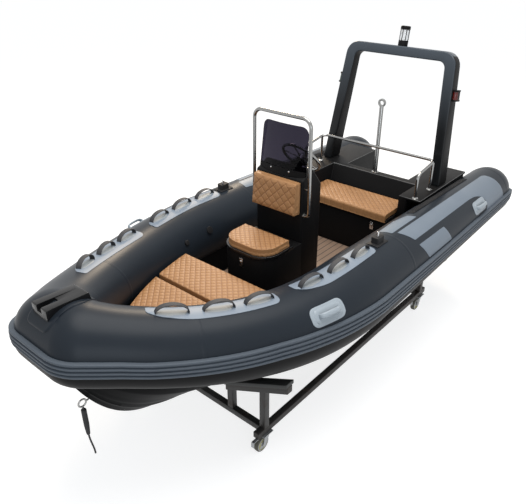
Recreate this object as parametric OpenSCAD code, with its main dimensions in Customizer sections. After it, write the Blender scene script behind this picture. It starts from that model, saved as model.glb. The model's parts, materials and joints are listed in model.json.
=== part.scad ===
/* [Overall] */
// Length over all, from the bow strake to the stern cones
length_over_all = 4690; // [4400:10:5000]
// Distance from the centreline to the axis of each side tube
tube_half_spacing = 775; // [750:5:820]
// Height of the side tube axis above the ground
tube_height = 985; // [970:5:1020]
// Rise of the tube axis at the bow
bow_rise = 245; // [180:5:290]

/* [Collar] */
// Tube radius across the bow
tube_r_bow = 228; // [200:2:240]
// Largest tube radius, amidships
tube_r_side = 270; // [250:2:280]
// Tube radius where the stern cones begin
tube_r_stern = 222; // [205:2:235]
// Length of each domed stern cone
cone_length = 270; // [180:5:340]
// Distance from the centreline to each bow mitre
bow_half_flat = 130; // [124:2:150]
// Length of the straight bow panel behind each mitre
bow_panel = 201; // [180:2:240]
// Heading of the bow panel away from the centreline
bow_heading = 37; // [34:1:40]
// Outer rounding of the bow mitre
mitre_outer_r = 200; // [120:5:240]
// Height that the rub strake stands proud
strake_proud = 28; // [15:1:35]
// Thickness of the glued pads and patches
pad_t = 5; // [3:0.5:8]

/* [Hull] */
// Height of the keel above the ground
keel_height = 280; // [270:2:300]
// Height of the cockpit floor
floor_height = 650; // [630:5:665]
// Distance over which the keel rises to the bow tube axis
keel_run = 1196; // [1100:4:1400]
// Thickness of the decking
decking_t = 8; // [5:1:12]
// Distance from the middle back to the transom
transom_back = 1854; // [1780:5:1900]
// Thickness of the transom board
transom_t = 45; // [35:1:60]
// Height of the engine cut in the transom
transom_cut_height = 800; // [780:5:830]
// Width of the engine cut
transom_cut_w = 620; // [520:10:680]

/* [Console] */
// Half width of the console
console_half_w = 225; // [200:5:235]
// Front face of the console
console_front = 226; // [210:2:240]
// Depth of the console, front to back
console_depth = 240; // [230:5:280]
// Height of the console front above the ground
console_height = 1630; // [1600:5:1660]
// Drop from the top of the hoop to the top of the windscreen
screen_drop = 85; // [60:5:160]
// Thickness of the windscreen
screen_t = 6; // [4:0.5:8]
// Height of the console hoop above the ground
hoop_height = 2100; // [2060:5:2140]
// Radius of the hoop tube
hoop_tube_r = 14; // [11:0.5:16]
// Steering wheel diameter
wheel_d = 340; // [300:5:360]

/* [Seats] */
// Front edge of the front seat locker
seat_front = 656; // [640:2:670]
// Half width of the front seat
seat_half_w = 234; // [220:2:244]
// Height of the front locker rim
seat_rim_height = 1125; // [1100:5:1140]
// Thickness of the locker lids
lid_t = 26; // [20:1:30]
// Thickness of the seat cushions
cushion_t = 62; // [50:1:70]
// Front face of the aft bench
bench_front = -724; // [-740:2:-710]
// Depth of the aft bench seat
bench_depth = 400; // [380:5:420]
// Height of the aft bench rim
bench_height = 1010; // [990:5:1020]
// Gap from each end of the aft bench seat to the end of its locker
bench_end_gap = 80; // [70:5:120]
// Thickness of the moulded walls
wall_t = 22; // [18:1:28]
// Aft edge of the bow deck
bow_deck_aft = 806; // [796:2:840]
// Height of the bow deck
bow_deck_height = 975; // [950:5:985]
// Thickness of the bow cushions
bow_cushion_t = 78; // [60:1:90]

/* [Arch and rails] */
// Height of the arch above the ground
arch_height = 2345; // [2280:5:2400]
// Distance from the tube axis in to the arch foot
arch_foot_in = 131; // [128:1:160]
// Distance from the tube axis in to the arch top
arch_top_in = 243; // [215:1:265]
// Width of an arch leg
arch_leg_w = 90; // [80:2:110]
// Depth of an arch leg at its foot, front to back
arch_leg_d = 170; // [140:2:190]
// Depth of the arch at its top
arch_top_d = 108; // [90:2:130]
// Rake of the arch
arch_rake = 9; // [6:0.5:11]
// Radius of the stern rail tube
rail_r = 12.5; // [10:0.5:15]
// Height of the stern rail above the ground
rail_height = 1495; // [1450:5:1530]
// Height of the tow pole above the ground
tow_height = 1920; // [1850:5:1960]
// Radius of the tow pole
tow_pole_r = 19; // [15:0.5:22]

/* [Cradle] */
// Diameter of the castor wheels
castor_d = 125; // [115:1:130]
// Width of the castor wheels
castor_w = 38; // [30:1:42]
// Distance from a castor pivot to its wheel axle
castor_trail = 35; // [25:1:40]
// Square size of the cradle tubes
cradle_tube = 50; // [40:1:56]
// Distance of the front castors ahead of the middle
castor_ahead = 1150; // [1100:5:1180]
// Distance of the rear castors behind the middle
castor_behind = 1150; // [1100:5:1250]
// Half track of the castors
castor_half_track = 645; // [620:5:680]

/* [Hidden] */

// Shared fits: a seat between flat pieces and on the tube, a cut that runs past a face, a running fit
seat = 0.3;
skin_seat = 0.4;
over = 2;
run_fit = 0.05;
move_gap = 6;

// Facet counts of round pieces and of the tube section
fine = 48;
coarse = 24;
tube_sides = 24;
facet = 360 / tube_sides;

// Steps along the tube from the bow centre to the stern: mitre, panel, flare, side and cone
mitre_steps = 12;
panel_steps = 6;
flare_steps = 12;
side_steps = 5;
cone_steps = 5;
t_mitre = 1;
t_panel = t_mitre + mitre_steps;
t_flare = t_panel + panel_steps;
t_side = t_flare + flare_steps;
t_cone = t_side + side_steps;
t_end = t_cone + cone_steps;

// Ribbed rub strake on the outer side: corner places and heights of the rib tops and grooves
strake_js = [0, -1, -2, -3];
strake_rib_shares = [[0, 0.3], [0.04, 0.8], [0.1, 1], [0.2, 1], [0.25, 0.7], [0.3, 1], [0.46, 1], [0.5, 0.7],
  [0.54, 1], [0.7, 1], [0.75, 0.7], [0.8, 1], [0.9, 1], [0.96, 0.8], [1, 0.3]];
// Reach of the strake ahead of the bow tube axis, over the flat facets of the section
function chord_cos(j) = let (i = floor(j)) mix(cos(i * facet), cos((i + 1) * facet), j - i);
strake_reach = max([for (row = strake_rib_shares)
  (tube_r_bow + strake_proud * row[1]) * chord_cos(strake_js[3] * row[0])]);

// Plan of the tube axis
mitre_turn = 90 - bow_heading;
mitre_half = mitre_turn / 2;
mitre_inner_r = 20;
bow_x = length_over_all / 2 - strake_reach;
stern_x = -length_over_all / 2 + cone_length;
flare_r = (tube_half_spacing - bow_half_flat - bow_panel * sin(bow_heading)) / (1 - cos(bow_heading));
mitre_at = [bow_x, bow_half_flat];
panel_end = mitre_at + bow_panel * [-cos(bow_heading), sin(bow_heading)];
flare_centre = panel_end - flare_r * dir(mitre_turn);
side_x = flare_centre.x;
rise_run = 1392;
rise_from = bow_x - rise_run;
cone_turn = 82;
// Place along the boat at a share of the way from the stern cones to the bow tube
function along(share) = mix(stern_x, bow_x, share);

function dir(a) = [cos(a), sin(a)];
function mix(a, b, f) = a + (b - a) * f;
function ease(f) = f * f * (3 - 2 * f);

// Height of the tube axis at a place along the boat
function axis_z(x) =
  tube_height + (x > rise_from ? bow_rise * pow((x - rise_from) / (bow_x - rise_from), 2) : 0);

// Station k of the tube: outer point, inner point, axis height and upright radius
function station(k) =
  k < t_mitre ? ring_at([bow_x + tube_r_bow, 0], [bow_x - tube_r_bow, 0], tube_r_bow) :
  k <= t_panel ? mitre_ring((k - t_mitre) / mitre_steps * mitre_turn) :
  k <= t_flare ? panel_ring((k - t_panel) / panel_steps) :
  k <= t_side ? flare_ring((k - t_flare) / flare_steps) :
  k <= t_cone ? side_ring((k - t_side) / side_steps) :
  cone_ring((k - t_cone) / cone_steps);

function ring_at(o, i, r) = [o, i, axis_z((o.x + i.x) / 2), r];
function mitre_ring(a) =
  let (out = mitre_at + (tube_r_bow - mitre_outer_r) / cos(mitre_half) * dir(mitre_half))
  let (ins = mitre_at - (tube_r_bow + mitre_inner_r) / cos(mitre_half) * dir(mitre_half))
  ring_at(out + mitre_outer_r * dir(a), ins + mitre_inner_r * dir(a), tube_r_bow);
function panel_ring(f) =
  let (from = mitre_ring(mitre_turn))
  let (across = tube_r_bow * dir(mitre_turn),
    to = ring_at(panel_end + across, panel_end - across, tube_r_bow))
  ring_at(mix(from[0], to[0], f), mix(from[1], to[1], f), tube_r_bow);
function flare_ring(f) =
  let (a = mix(mitre_turn, 90, f), r = mix(tube_r_bow, tube_r_side, ease(f)))
  ring_at(flare_centre + (flare_r + r) * dir(a), flare_centre + (flare_r - r) * dir(a), r);
function side_ring(f) =
  let (x = mix(side_x, stern_x, f), r = mix(tube_r_side, tube_r_stern, f))
  ring_at([x, tube_half_spacing + r], [x, tube_half_spacing - r], r);
function cone_ring(f) =
  let (a = f * cone_turn, x = stern_x - cone_length * sin(a) / sin(cone_turn), r = tube_r_stern * cos(a))
  ring_at([x, tube_half_spacing + r], [x, tube_half_spacing - r], r);

STATIONS = [for (k = [0 : t_end]) station(k)];

// Vertex of the tube section: station k, corner j counted up from the outer side
function corner(k, j, off) =
  let (s = STATIONS[k], a = j * facet, mid = (s[0] + s[1]) / 2, half = (s[0] - s[1]) / 2)
  let (p = mid + half * (1 + off / norm(half)) * cos(a))
  [p.x, p.y, s[2] + (s[3] + off) * sin(a)];

// Point on the flat facets of the tube at fractional station and corner, minus signs on starboard
function skin(t, j, off = 0) =
  let (u = abs(t), k = min(floor(u), t_end - 1), i = floor(j))
  let (p = mix(mix(corner(k, i, off), corner(k + 1, i, off), u - k),
               mix(corner(k, i + 1, off), corner(k + 1, i + 1, off), u - k), j - i))
  [p.x, t < 0 ? -p.y : p.y, p.z];

// Fractional station at a place along the side
function t_at(x) =
  x > side_x ? t_flare + flare_steps * (acos((x - flare_centre.x) / flare_r) - mitre_turn) / bow_heading :
  t_side + side_steps * (side_x - x) / (side_x - stern_x);
// The same for the inner side of the tube, with the radius found in one more step
function flare_share(x, r) = (acos((x - flare_centre.x) / (flare_r - r)) - mitre_turn) / bow_heading;
function t_inner(x) =
  x <= side_x ? t_at(x) :
  t_flare + flare_steps * flare_share(x, mix(tube_r_bow, tube_r_side, ease(flare_share(x, tube_r_side))));
// Whole stations, or whole corners, between two places, with the places themselves
function t_span(a, b) = [a, for (k = [floor(a) + 1 : ceil(b) - 1]) k, b];

// Closed tube through rings of points, its ends flat
module swept(rings) {
  n = len(rings[0]);
  m = len(rings);
  points = [for (ring = rings) for (p = ring) p];
  sides = [for (i = [0 : m - 2]) for (j = [0 : n - 1])
    let (a = i * n + j, b = i * n + (j + 1) % n)
    each [[a, b, b + n], [a, b + n, a + n]]];
  ends = [[for (j = [n - 1 : -1 : 0]) j], [for (j = [0 : n - 1]) (m - 1) * n + j]];
  polyhedron(points, concat(sides, ends));
}
// A list, such as the points of a ring, from its end
function turned(rings) = [for (i = [len(rings) - 1 : -1 : 0]) rings[i]];

// Band on the tube between stations and corners, from one height above the skin to another
module skin_band(ts, js, low, high) {
  rings = [for (t = ts) concat(
    [for (j = js) skin(t, j, high)],
    [for (i = [len(js) - 1 : -1 : 0]) skin(t, js[i], low)])];
  swept(rings);
}
module both_sides() {
  children();
  mirror([0, 1, 0]) children();
}
// Round bar between two points
module bar(a, b, r) {
  v = b - a;
  translate(a) rotate([0, acos(v.z / norm(v)), atan2(v.y, v.x)]) cylinder(r = r, h = norm(v), $fn = fine);
}
// Arc that rounds the corner at p between two neighbours
function bend(before, p, after, r, steps) =
  let (ua = (before - p) / norm(before - p), ub = (after - p) / norm(after - p))
  let (half = acos(ua * ub) / 2, c = p + (ua + ub) / norm(ua + ub) * r / sin(half))
  let (from = p + ua * r / tan(half) - c)
  r == 0 ? [p] : [for (k = [0 : steps]) let (g = (180 - 2 * half) * k / steps)
    c + from * cos(g) - ua * r * sin(g)];
// Closed outline with rounded corners, and open path with rounded bends
function rounded(points, radii, steps = 6) =
  let (n = len(points))
  [for (i = [0 : n - 1])
    each bend(points[(i + n - 1) % n], points[i], points[(i + 1) % n], radii[i], steps)];
function bent_path(points, r, steps = 6) =
  let (n = len(points))
  [points[0], for (i = [1 : n - 2]) each bend(points[i - 1], points[i], points[i + 1], r, steps),
    points[n - 1]];
// Tube of flat facets along a path that never runs towards the reference direction
rail_sides = 14;
module rail(path, r, ref) {
  n = len(path);
  rings = [for (i = [0 : n - 1])
    let (v = path[min(i + 1, n - 1)] - path[max(i - 1, 0)], e = cross(v, ref), side = e / norm(e))
    let (w = cross(side, v), up = w / norm(w))
    [for (k = [0 : rail_sides - 1]) let (a = 360 * k / rail_sides)
      path[i] + r * (cos(a) * side + sin(a) * up)]];
  swept(rings);
}
module rounded_box(size, r) {
  linear_extrude(size.z) polygon(rounded([[0, 0], [size.x, 0], [size.x, size.y], [0, size.y]],
    [r, r, r, r]));
}

// Hull sections, one for each station of the tube from the stem to the transom
keel_straight = bow_x - keel_run;
stem_half = 30;
stem_lead = 90;
stem_share = 0.33;
keel_rise = 720;
keel_rise_length = 1300;
keel_power = 4.6;
chine_y_share = 0.74;
chine_z_share = 0.54;
wall_inset = 20;
stem_t = t_mitre * stem_half / ((STATIONS[1][0].y + STATIONS[1][1].y) / 2);
transom_t_at = t_at(-transom_back);
hull_ts = [stem_t, for (k = [1 : floor(transom_t_at)]) k, transom_t_at];
// Corners of the tube section that lie on the hull flange
flange_js = [17, 16, 15, 14];

function keel_z(x) =
  keel_height
    + (x > keel_straight ? keel_rise * pow((x - keel_straight) / keel_rise_length, keel_power) : 0);
function keel_point(t) =
  let (mid = (skin(t, 0) + skin(t, tube_sides / 2)) / 2, ahead = stem_lead * max(0, 1 - t / t_side))
  [mid.x + ahead, 0, keel_z(mid.x + ahead)];
function chine_point(t) =
  let (k = keel_point(t), f = skin(t, flange_js[0], skin_seat))
  [mix(k.x, f.x, chine_z_share), f.y * chine_y_share, mix(k.z, f.z, chine_z_share)];
function wall_foot(t) =
  let (o = skin(t, 0), i = skin(t, tube_sides / 2), f = skin(t, flange_js[3], skin_seat),
    v = (i - o) / norm(i - o))
  [f.x + v.x * wall_inset, max(f.y + v.y * wall_inset, stem_half * stem_share), floor_height];
function hull_side(t) = concat([chine_point(t)], [for (j = flange_js) skin(t, j, skin_seat)],
  [wall_foot(t)]);
function flip(points) = [for (i = [len(points) - 1 : -1 : 0]) [points[i].x, -points[i].y, points[i].z]];

module boat_hull() {
  // Each ring: keel, port chine, flange and wall, then the same on starboard
  rings = [for (t = hull_ts) concat([keel_point(t)], hull_side(t), flip(hull_side(t)))];
  n = len(rings[0]);
  m = len(rings);
  h = (n - 1) / 2;
  points = [for (ring = rings) for (p = ring) p];
  sides = [for (i = [0 : m - 2]) for (j = [0 : n - 1])
    let (a = i * n + j, b = i * n + (j + 1) % n)
    each [[a, b + n, b], [a, a + n, b + n]]];
  stem = [[0, 1, n - 1], for (j = [1 : h - 1]) each [[j, j + 1, n - 1 - j], [j, n - 1 - j, n - j]]];
  transom = [[for (j = [n - 1 : -1 : 0]) (m - 1) * n + j]];
  color("#16171a") polyhedron(points, concat(sides, stem, transom));
}

// Inner line of the collar in plan, with a clearance
function inner_line(ts, gap) = [for (t = ts)
  let (o = skin(t, 0), i = skin(t, tube_sides / 2), v = (i - o) / norm(i - o))
    [i.x + v.x * gap, i.y + v.y * gap]];
function mirrored(line) = concat(line, [for (i = [len(line) - 1 : -1 : 0]) [line[i].x, -line[i].y]]);

// Teak decking on the cockpit floor, from the bow deck back to the bench
decking_gap = 6;
module floor_decking() {
  line = inner_line(t_span(t_inner(bow_deck_aft - decking_gap), t_at(bench_front + decking_gap)),
    decking_gap);
  color("#6b4a36") translate([0, 0, floor_height]) linear_extrude(decking_t) polygon(mirrored(line));
}

// Bow deck and its two cushions follow the inner line of the collar
bow_deck_gap = 4;
bow_deck_tip_t = t_panel;
cushion_side_gap = 16;
cushion_split_share = 0.78;
cushion_tip_share = 0.878;
cushion_split = along(cushion_split_share);
cushion_joint = 14;
bow_cushion_tip = along(cushion_tip_share);
module bow_deck() {
  line = inner_line(t_span_back(t_inner(bow_deck_aft), bow_deck_tip_t), bow_deck_gap);
  color("#141416") translate([0, 0, floor_height]) linear_extrude(bow_deck_height - floor_height)
    polygon(mirrored(line));
}
// Stations from an aft place forward to a station nearer the bow
function t_span_back(aft, fore) = turned(t_span(fore, aft));
module bow_cushion(aft_x, fore_x) {
  line = inner_line(t_span_back(t_inner(aft_x), t_inner(fore_x)), cushion_side_gap);
  translate([0, 0, bow_deck_height + seat]) linear_extrude(bow_cushion_t) polygon(mirrored(line));
}
module bow_cushion_aft() {
  color("#b9814c") bow_cushion(bow_deck_aft, cushion_split - cushion_joint / 2);
}
module bow_cushion_forward() {
  color("#b9814c") bow_cushion(cushion_split + cushion_joint / 2, bow_cushion_tip);
}

// The collar: a bow chamber across the stem and a long chamber on each side
chamber_t = t_flare + flare_steps / 4;
module collar(ts, off) {
  swept([for (t = ts) [for (j = [0 : tube_sides - 1]) skin(t, j, off)]]);
}
module collar_bow() {
  color("#3a4047") collar([for (t = [-chamber_t : chamber_t]) t == 0 ? 0 : t], 0);
}
module side_chamber() {
  collar([for (t = [chamber_t : t_end]) t], 0);
}
module collar_port() {
  color("#3a4047") side_chamber();
}
module collar_starboard() {
  color("#3a4047") mirror([0, 1, 0]) side_chamber();
}

// Rub strake round the whole collar
strake_end_t = t_cone + 2;
function strake_ring(t) = concat(
  [for (j = strake_js) skin(t, j, skin_seat)],
  [for (i = [len(strake_rib_shares) - 1 : -1 : 0])
    skin(t, strake_js[3] * strake_rib_shares[i][0], strake_proud * strake_rib_shares[i][1])]);
module rub_strake() {
  color("#74797f") swept([for (t = [-strake_end_t : strake_end_t]) strake_ring(t)]);
}

// Light grey pads on top of the tubes, three webbing loops on each
pad_js = [5, 6, 7];
pad_shares = [[0.7553, 0.9314], [0.5316, 0.7219]];
pad_spans = [for (row = pad_shares) [along(row[0]), along(row[1])]];
loops_per_pad = 3;
loop_l = 200;
loop_h = 58;
loop_w = 36;
loop_t = 7;
module handle_pads() {
  color("#a9b3bb") both_sides() for (span = pad_spans)
    skin_band(t_span(t_at(span[1]), t_at(span[0])), pad_js, skin_seat, pad_t);
}
// Frame on a line between two points of the tube: x along it, z away from the tube
module on_chord(a, b, j) {
  v = a - b;
  translate((a + b) / 2) rotate([0, 0, atan2(v.y, v.x)]) rotate([0, -atan2(v.z, norm([v.x, v.y])), 0])
    rotate([j * facet - 90, 0, 0]) children();
}
// The same at one place along the boat
tangent_step = 0.05;
module on_tube(x, j, off) {
  t = t_at(x);
  on_chord(skin(t - tangent_step, j, off), skin(t + tangent_step, j, off), j) children();
}
// Way along the boat for each unit of way along the tube
function slant(x) = x > side_x ? sin(acos((x - flare_centre.x) / flare_r)) : 1;
band_steps = 14;
module arch_band(l, h, w, t) {
  outer = [for (k = [0 : band_steps]) let (a = 180 * k / band_steps) [l / 2 * cos(a), h * sin(a)]];
  inner = [for (k = [band_steps : -1 : 0]) let (a = 180 * k / band_steps)
    [(l / 2 - t) * cos(a), (h - t) * sin(a)]];
  translate([0, w / 2, 0]) rotate([90, 0, 0]) linear_extrude(w) polygon(concat(outer, inner));
}
// Each loop stands on its two feet, because the tube is hollow between them where it rises
module grab_handles() {
  off = pad_t + seat;
  j = pad_js[1];
  color("#1a1b1d") both_sides() for (span = pad_spans) for (i = [0 : loops_per_pad - 1])
    let (x = mix(span[0], span[1], (i + 0.5) / loops_per_pad), half = loop_l / 2 * slant(x))
    on_chord(skin(t_at(x + half), j, off), skin(t_at(x - half), j, off), j)
      arch_band(loop_l, loop_h, loop_w, loop_t);
}

// Moulded lifting handles on the tube sides: share along the boat and corner of the section
lift_shares = [[0.7, 2.5], [0.162, 2]];
lift_places = [for (row = lift_shares) [along(row[0]), row[1]]];
lift_l = 250;
lift_base_t = 9;
lift_grip_l = 170;
lift_grip_h = 46;
lift_grip_w = 34;
lift_grip_t = 16;
lift_half_j = 0.8;
module lifting_handles() {
  color("#c3ccd2") both_sides() for (place = lift_places) {
    skin_band(t_span(t_at(place[0] + lift_l / 2), t_at(place[0] - lift_l / 2)),
      t_span(place[1] - lift_half_j, place[1] + lift_half_j), skin_seat, lift_base_t);
    on_tube(place[0], place[1], lift_base_t / 2)
      arch_band(lift_grip_l, lift_grip_h, lift_grip_w, lift_grip_t);
  }
}

// Light grey reinforcing patches on the aft half of each tube: shares along it, lower and upper corner
// The long band turns down to the strake at its aft end
patch_shares = [[0.4428, 0.042, 3.65, 5.55], [0.1248, 0.0324, 0.12, 3.63], [0.4231, 0.3223, 0.9, 2.88],
  [0.4608, 0.3648, 5.87, 7.65]];
patch_t = 3;
module wear_patches() {
  color("#8b98a3") both_sides() for (row = patch_shares)
    skin_band(t_span(t_at(along(row[0])), t_at(along(row[1]))), t_span(row[2], row[3]), skin_seat, patch_t);
}

// Black ribbed step strips on the inner shoulder beside the bench
step_shares = [0.3492, 0.1];
step_js = [6.7, 7.7];
step_t = 9;
step_ribs = 4;
// Place across one rib and height
step_rib_shares = [[0.1, 0.5], [0.2, 1], [0.8, 1], [0.9, 0.5]];
module step_pads() {
  ts = t_span(t_at(along(step_shares[0])), t_at(along(step_shares[1])));
  color("#1d1f21") both_sides() swept([for (t = ts) concat(
    [for (k = [0 : step_ribs - 1]) for (row = step_rib_shares)
      skin(t, mix(step_js[0], step_js[1], (k + row[0]) / step_ribs), step_t * row[1])],
    turned([for (j = t_span(step_js[0], step_js[1])) skin(t, j, skin_seat)]))]);
}

// Mooring posts: stepped pad, block and pin
post_share = 0.5078;
post_x = along(post_share);
post_pad = [150, 104, 8];
post_block = [84, 62, 46];
post_js = [5.3, 6, 6.7];
post_pin_r = 8;
post_pin_h = 34;
module mooring_posts() {
  color("#222325") both_sides() {
    skin_band(t_span(t_at(post_x + post_pad.x / 2), t_at(post_x - post_pad.x / 2)), post_js,
      skin_seat, post_pad.z);
    translate(skin(t_at(post_x), post_js[1])) {
      translate([-post_block.x / 2, -post_block.y / 2, post_pad.z / 2]) rounded_box(post_block, post_pad.z);
      translate([0, 0, post_pad.z / 2]) cylinder(r = post_pin_r, h = post_block.z + post_pin_h, $fn = fine);
    }
  }
}

// Inflation valves on the inner sides of the tubes: share along the boat, radius
valve_shares = [0.6866, 0.6146];
valve_rs = [22, 30];
valve_j = 10.5;
valve_h = 14;
valve_seat = 0.9;
module air_valves() {
  color("#26282b") both_sides() for (i = [0 : len(valve_rs) - 1])
    on_tube(along(valve_shares[i]), valve_j, valve_seat) cylinder(r = valve_rs[i], h = valve_h, $fn = fine);
}

// Anchor chock that saddles the bow tube, grooved along its top and open to the front
chock_half_w = 70;
chock_l = 290;
chock_ahead = 143;
chock_rise = 27;
chock_fall = 13;
chock_drop = 110;
chock_rear_run = 28;
chock_r = 8;
chock_groove_w = 44;
chock_groove_d = 12;
chock_mouth_l = 110;
chock_mouth_d = 38;
module bow_chock() {
  crest = tube_height + bow_rise + tube_r_bow;
  front = bow_x + chock_ahead;
  back = front - chock_l;
  color("#1b1c1e") difference() {
    translate([0, chock_half_w, 0]) rotate([90, 0, 0]) linear_extrude(2 * chock_half_w)
      polygon(rounded([[back, crest - chock_drop], [front, crest - chock_drop], [front, crest + chock_rise],
        [back + chock_rear_run, crest + chock_rise - chock_fall]], [0, 0, chock_r, chock_r]));
    collar([for (t = [-t_panel : t_panel]) t == 0 ? 0 : t], skin_seat);
    translate([back - over, -chock_groove_w / 2, crest + chock_rise - chock_groove_d])
      cube([chock_l + 2 * over, chock_groove_w, chock_groove_d + over]);
    translate([front - chock_mouth_l, -chock_groove_w / 2, crest + chock_rise - chock_mouth_d])
      cube([chock_mouth_l + over, chock_groove_w, chock_mouth_d + over]);
  }
}

// Bow eye on the stem, with the bow line made fast to it
eye_z = 707;
eye_r = 26;
eye_bar_r = 6;
// Place of the stem at a height, between the keel points of the hull sections
function stem_x(z) = [for (i = [0 : len(hull_ts) - 2])
  let (a = keel_point(hull_ts[i]), b = keel_point(hull_ts[i + 1]))
  if (a.z >= z && b.z < z) mix(b.x, a.x, (z - b.z) / (a.z - b.z))][0];
eye_x = stem_x(eye_z + eye_bar_r) + seat;
eye_out = 44;
eye_low = eye_z - eye_r - eye_bar_r;
module bow_eye() {
  color("#c9ccd0") {
    translate([eye_x + eye_out, 0, eye_z]) rotate([90, 0, 0])
      rotate_extrude($fn = fine) translate([eye_r, 0]) circle(r = eye_bar_r, $fn = coarse);
    bar([eye_x, 0, eye_z], [eye_x + eye_out - eye_r, 0, eye_z], eye_bar_r);
  }
}
// The bow line: distance ahead of the eye, to port and below it, from the eye to the tail
rope_r = 6;
rope_rows = [[0, 0, 0], [0, 0, 35], [0, 0, 75], [0, 0, 115], [0, 0, 155], [0, 0, 195], [0, 0, 230],
  [-1, 1, 255], [-3, 3, 280], [-6, 5, 305], [-10, 6, 330], [-14, 6, 355], [-17, 5, 375], [-19, 4, 395],
  [-20, 3, 413]];
rope_route = [for (row = rope_rows) [eye_x + eye_out + row.x, row.y, eye_low - seat - row.z]];
rope_sides = 10;
whip_top = eye_low - rope_rows[1].z / 2;
whip_low = eye_low - rope_rows[6].z;
whip_r = 17;
whip_taper_share = 0.4;
whip_end_share = 0.6;
module bow_rope() {
  rings = [for (p = rope_route) [for (i = [0 : rope_sides - 1])
    p + [rope_r * cos(-360 * i / rope_sides), rope_r * sin(-360 * i / rope_sides), 0]]];
  color("#151515") swept(rings);
}
module rope_whipping() {
  color("#151515") translate([rope_route[0].x, 0, 0]) rotate_extrude($fn = fine)
    polygon(rounded([[rope_r + seat, whip_low], [whip_r * whip_end_share, whip_low],
      [whip_r, mix(whip_low, whip_top, whip_taper_share)], [whip_r, whip_top], [rope_r + seat, whip_top]],
      [0, 0, 0, rope_r, 0]));
}

// Console: a moulded pod with a sloping dash
base_z = floor_height + decking_t;
console_back = console_front - console_depth;
dash_crest_in = 126;
dash_crest_up = 60;
dash_crest = [console_front - dash_crest_in, console_height + dash_crest_up];
dash_foot_drop = 140;
dash_foot = [console_back, dash_crest.y - dash_foot_drop];
console_r = 18;
module console_block(grow) {
  translate([0, console_half_w + grow, 0]) rotate([90, 0, 0]) linear_extrude(2 * (console_half_w + grow))
    polygon(rounded([[console_back - grow, base_z], [console_front + grow, base_z],
      [console_front + grow, console_height + grow], dash_crest + [0, grow], dash_foot + [-grow, grow]],
      [0, 0, console_r, console_r, console_r]));
}
module console() {
  color("#121315") console_block(0);
}

// Smoked windscreen on the front edge of the console, wrapped round an axis that leans aft
screen_half_w = 222;
screen_top_half = 207;
screen_rake = 6;
screen_wrap_r = 700;
screen_sides = 360;
screen_in = 4;
screen_skirt = 20;
screen_corner_r = 60;
module windscreen() {
  tall = hoop_height - screen_drop - console_height;
  r = min(screen_corner_r, tall / 2);
  color("#4a4255") difference() {
    translate([console_front - screen_in, 0, console_height]) rotate([0, -screen_rake, 0]) intersection() {
      translate([-screen_wrap_r, 0, -screen_skirt]) difference() {
        cylinder(r = screen_wrap_r, h = tall + screen_skirt, $fn = screen_sides);
        translate([0, 0, -over])
          cylinder(r = screen_wrap_r - screen_t, h = tall + screen_skirt + 2 * over, $fn = screen_sides);
      }
      translate([-screen_half_w, 0, 0]) rotate([90, 0, 90]) linear_extrude(2 * screen_half_w)
        polygon(rounded([[-screen_half_w, -screen_skirt], [screen_half_w, -screen_skirt],
          [screen_top_half, tall], [-screen_top_half, tall]], [0, 0, r, r]));
    }
    console_block(seat);
  }
}

// Stainless hoop over the console, bent in to the console sides at its feet, with a stub above each foot
hoop_in = 26;
hoop_out = 45;
hoop_drop = 280;
hoop_x = console_front - hoop_in;
hoop_half = console_half_w + hoop_out;
hoop_lean = 10;
hoop_foot_z = console_height - hoop_drop;
hoop_bend = 70;
hoop_foot_bend = 34;
hoop_stub_drop = 65;
hoop_stub_r = 7;
module console_hoop() {
  half_top = hoop_half - hoop_lean;
  top_z = hoop_height - hoop_tube_r;
  foot_y = console_half_w + seat;
  corners = [[hoop_x, foot_y, hoop_foot_z], [hoop_x, hoop_half, hoop_foot_z], [hoop_x, half_top, top_z],
    [hoop_x, -half_top, top_z], [hoop_x, -hoop_half, hoop_foot_z], [hoop_x, -foot_y, hoop_foot_z]];
  bends = [hoop_foot_bend, hoop_bend, hoop_bend, hoop_foot_bend];
  path = [corners[0], for (i = [1 : 4])
    each bend(corners[i - 1], corners[i], corners[i + 1], bends[i - 1], 6),
    corners[5]];
  stub_z = console_height - hoop_stub_drop;
  stub_y = mix(hoop_half, half_top, (stub_z - hoop_foot_z) / (top_z - hoop_foot_z));
  color("#c9ccd0") {
    rail(path, hoop_tube_r, [1, 0, 0]);
    both_sides() bar([hoop_x, foot_y, stub_z], [hoop_x, stub_y, stub_z], hoop_stub_r);
  }
}

// Backrest on the console front, over the front seat
backrest_low = 1360;
backrest_high = 1625;
backrest_half = 213;
backrest_low_t = 88;
backrest_high_t = 60;
module backrest_pad() {
  x = console_front + seat;
  color("#b9814c") translate([0, backrest_half, 0]) rotate([90, 0, 0]) linear_extrude(2 * backrest_half)
    polygon(rounded([[x, backrest_low], [x + backrest_low_t, backrest_low],
      [x + backrest_high_t, backrest_high],
      [x, backrest_high]], [0, wall_t, wall_t, 0]));
}

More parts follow.
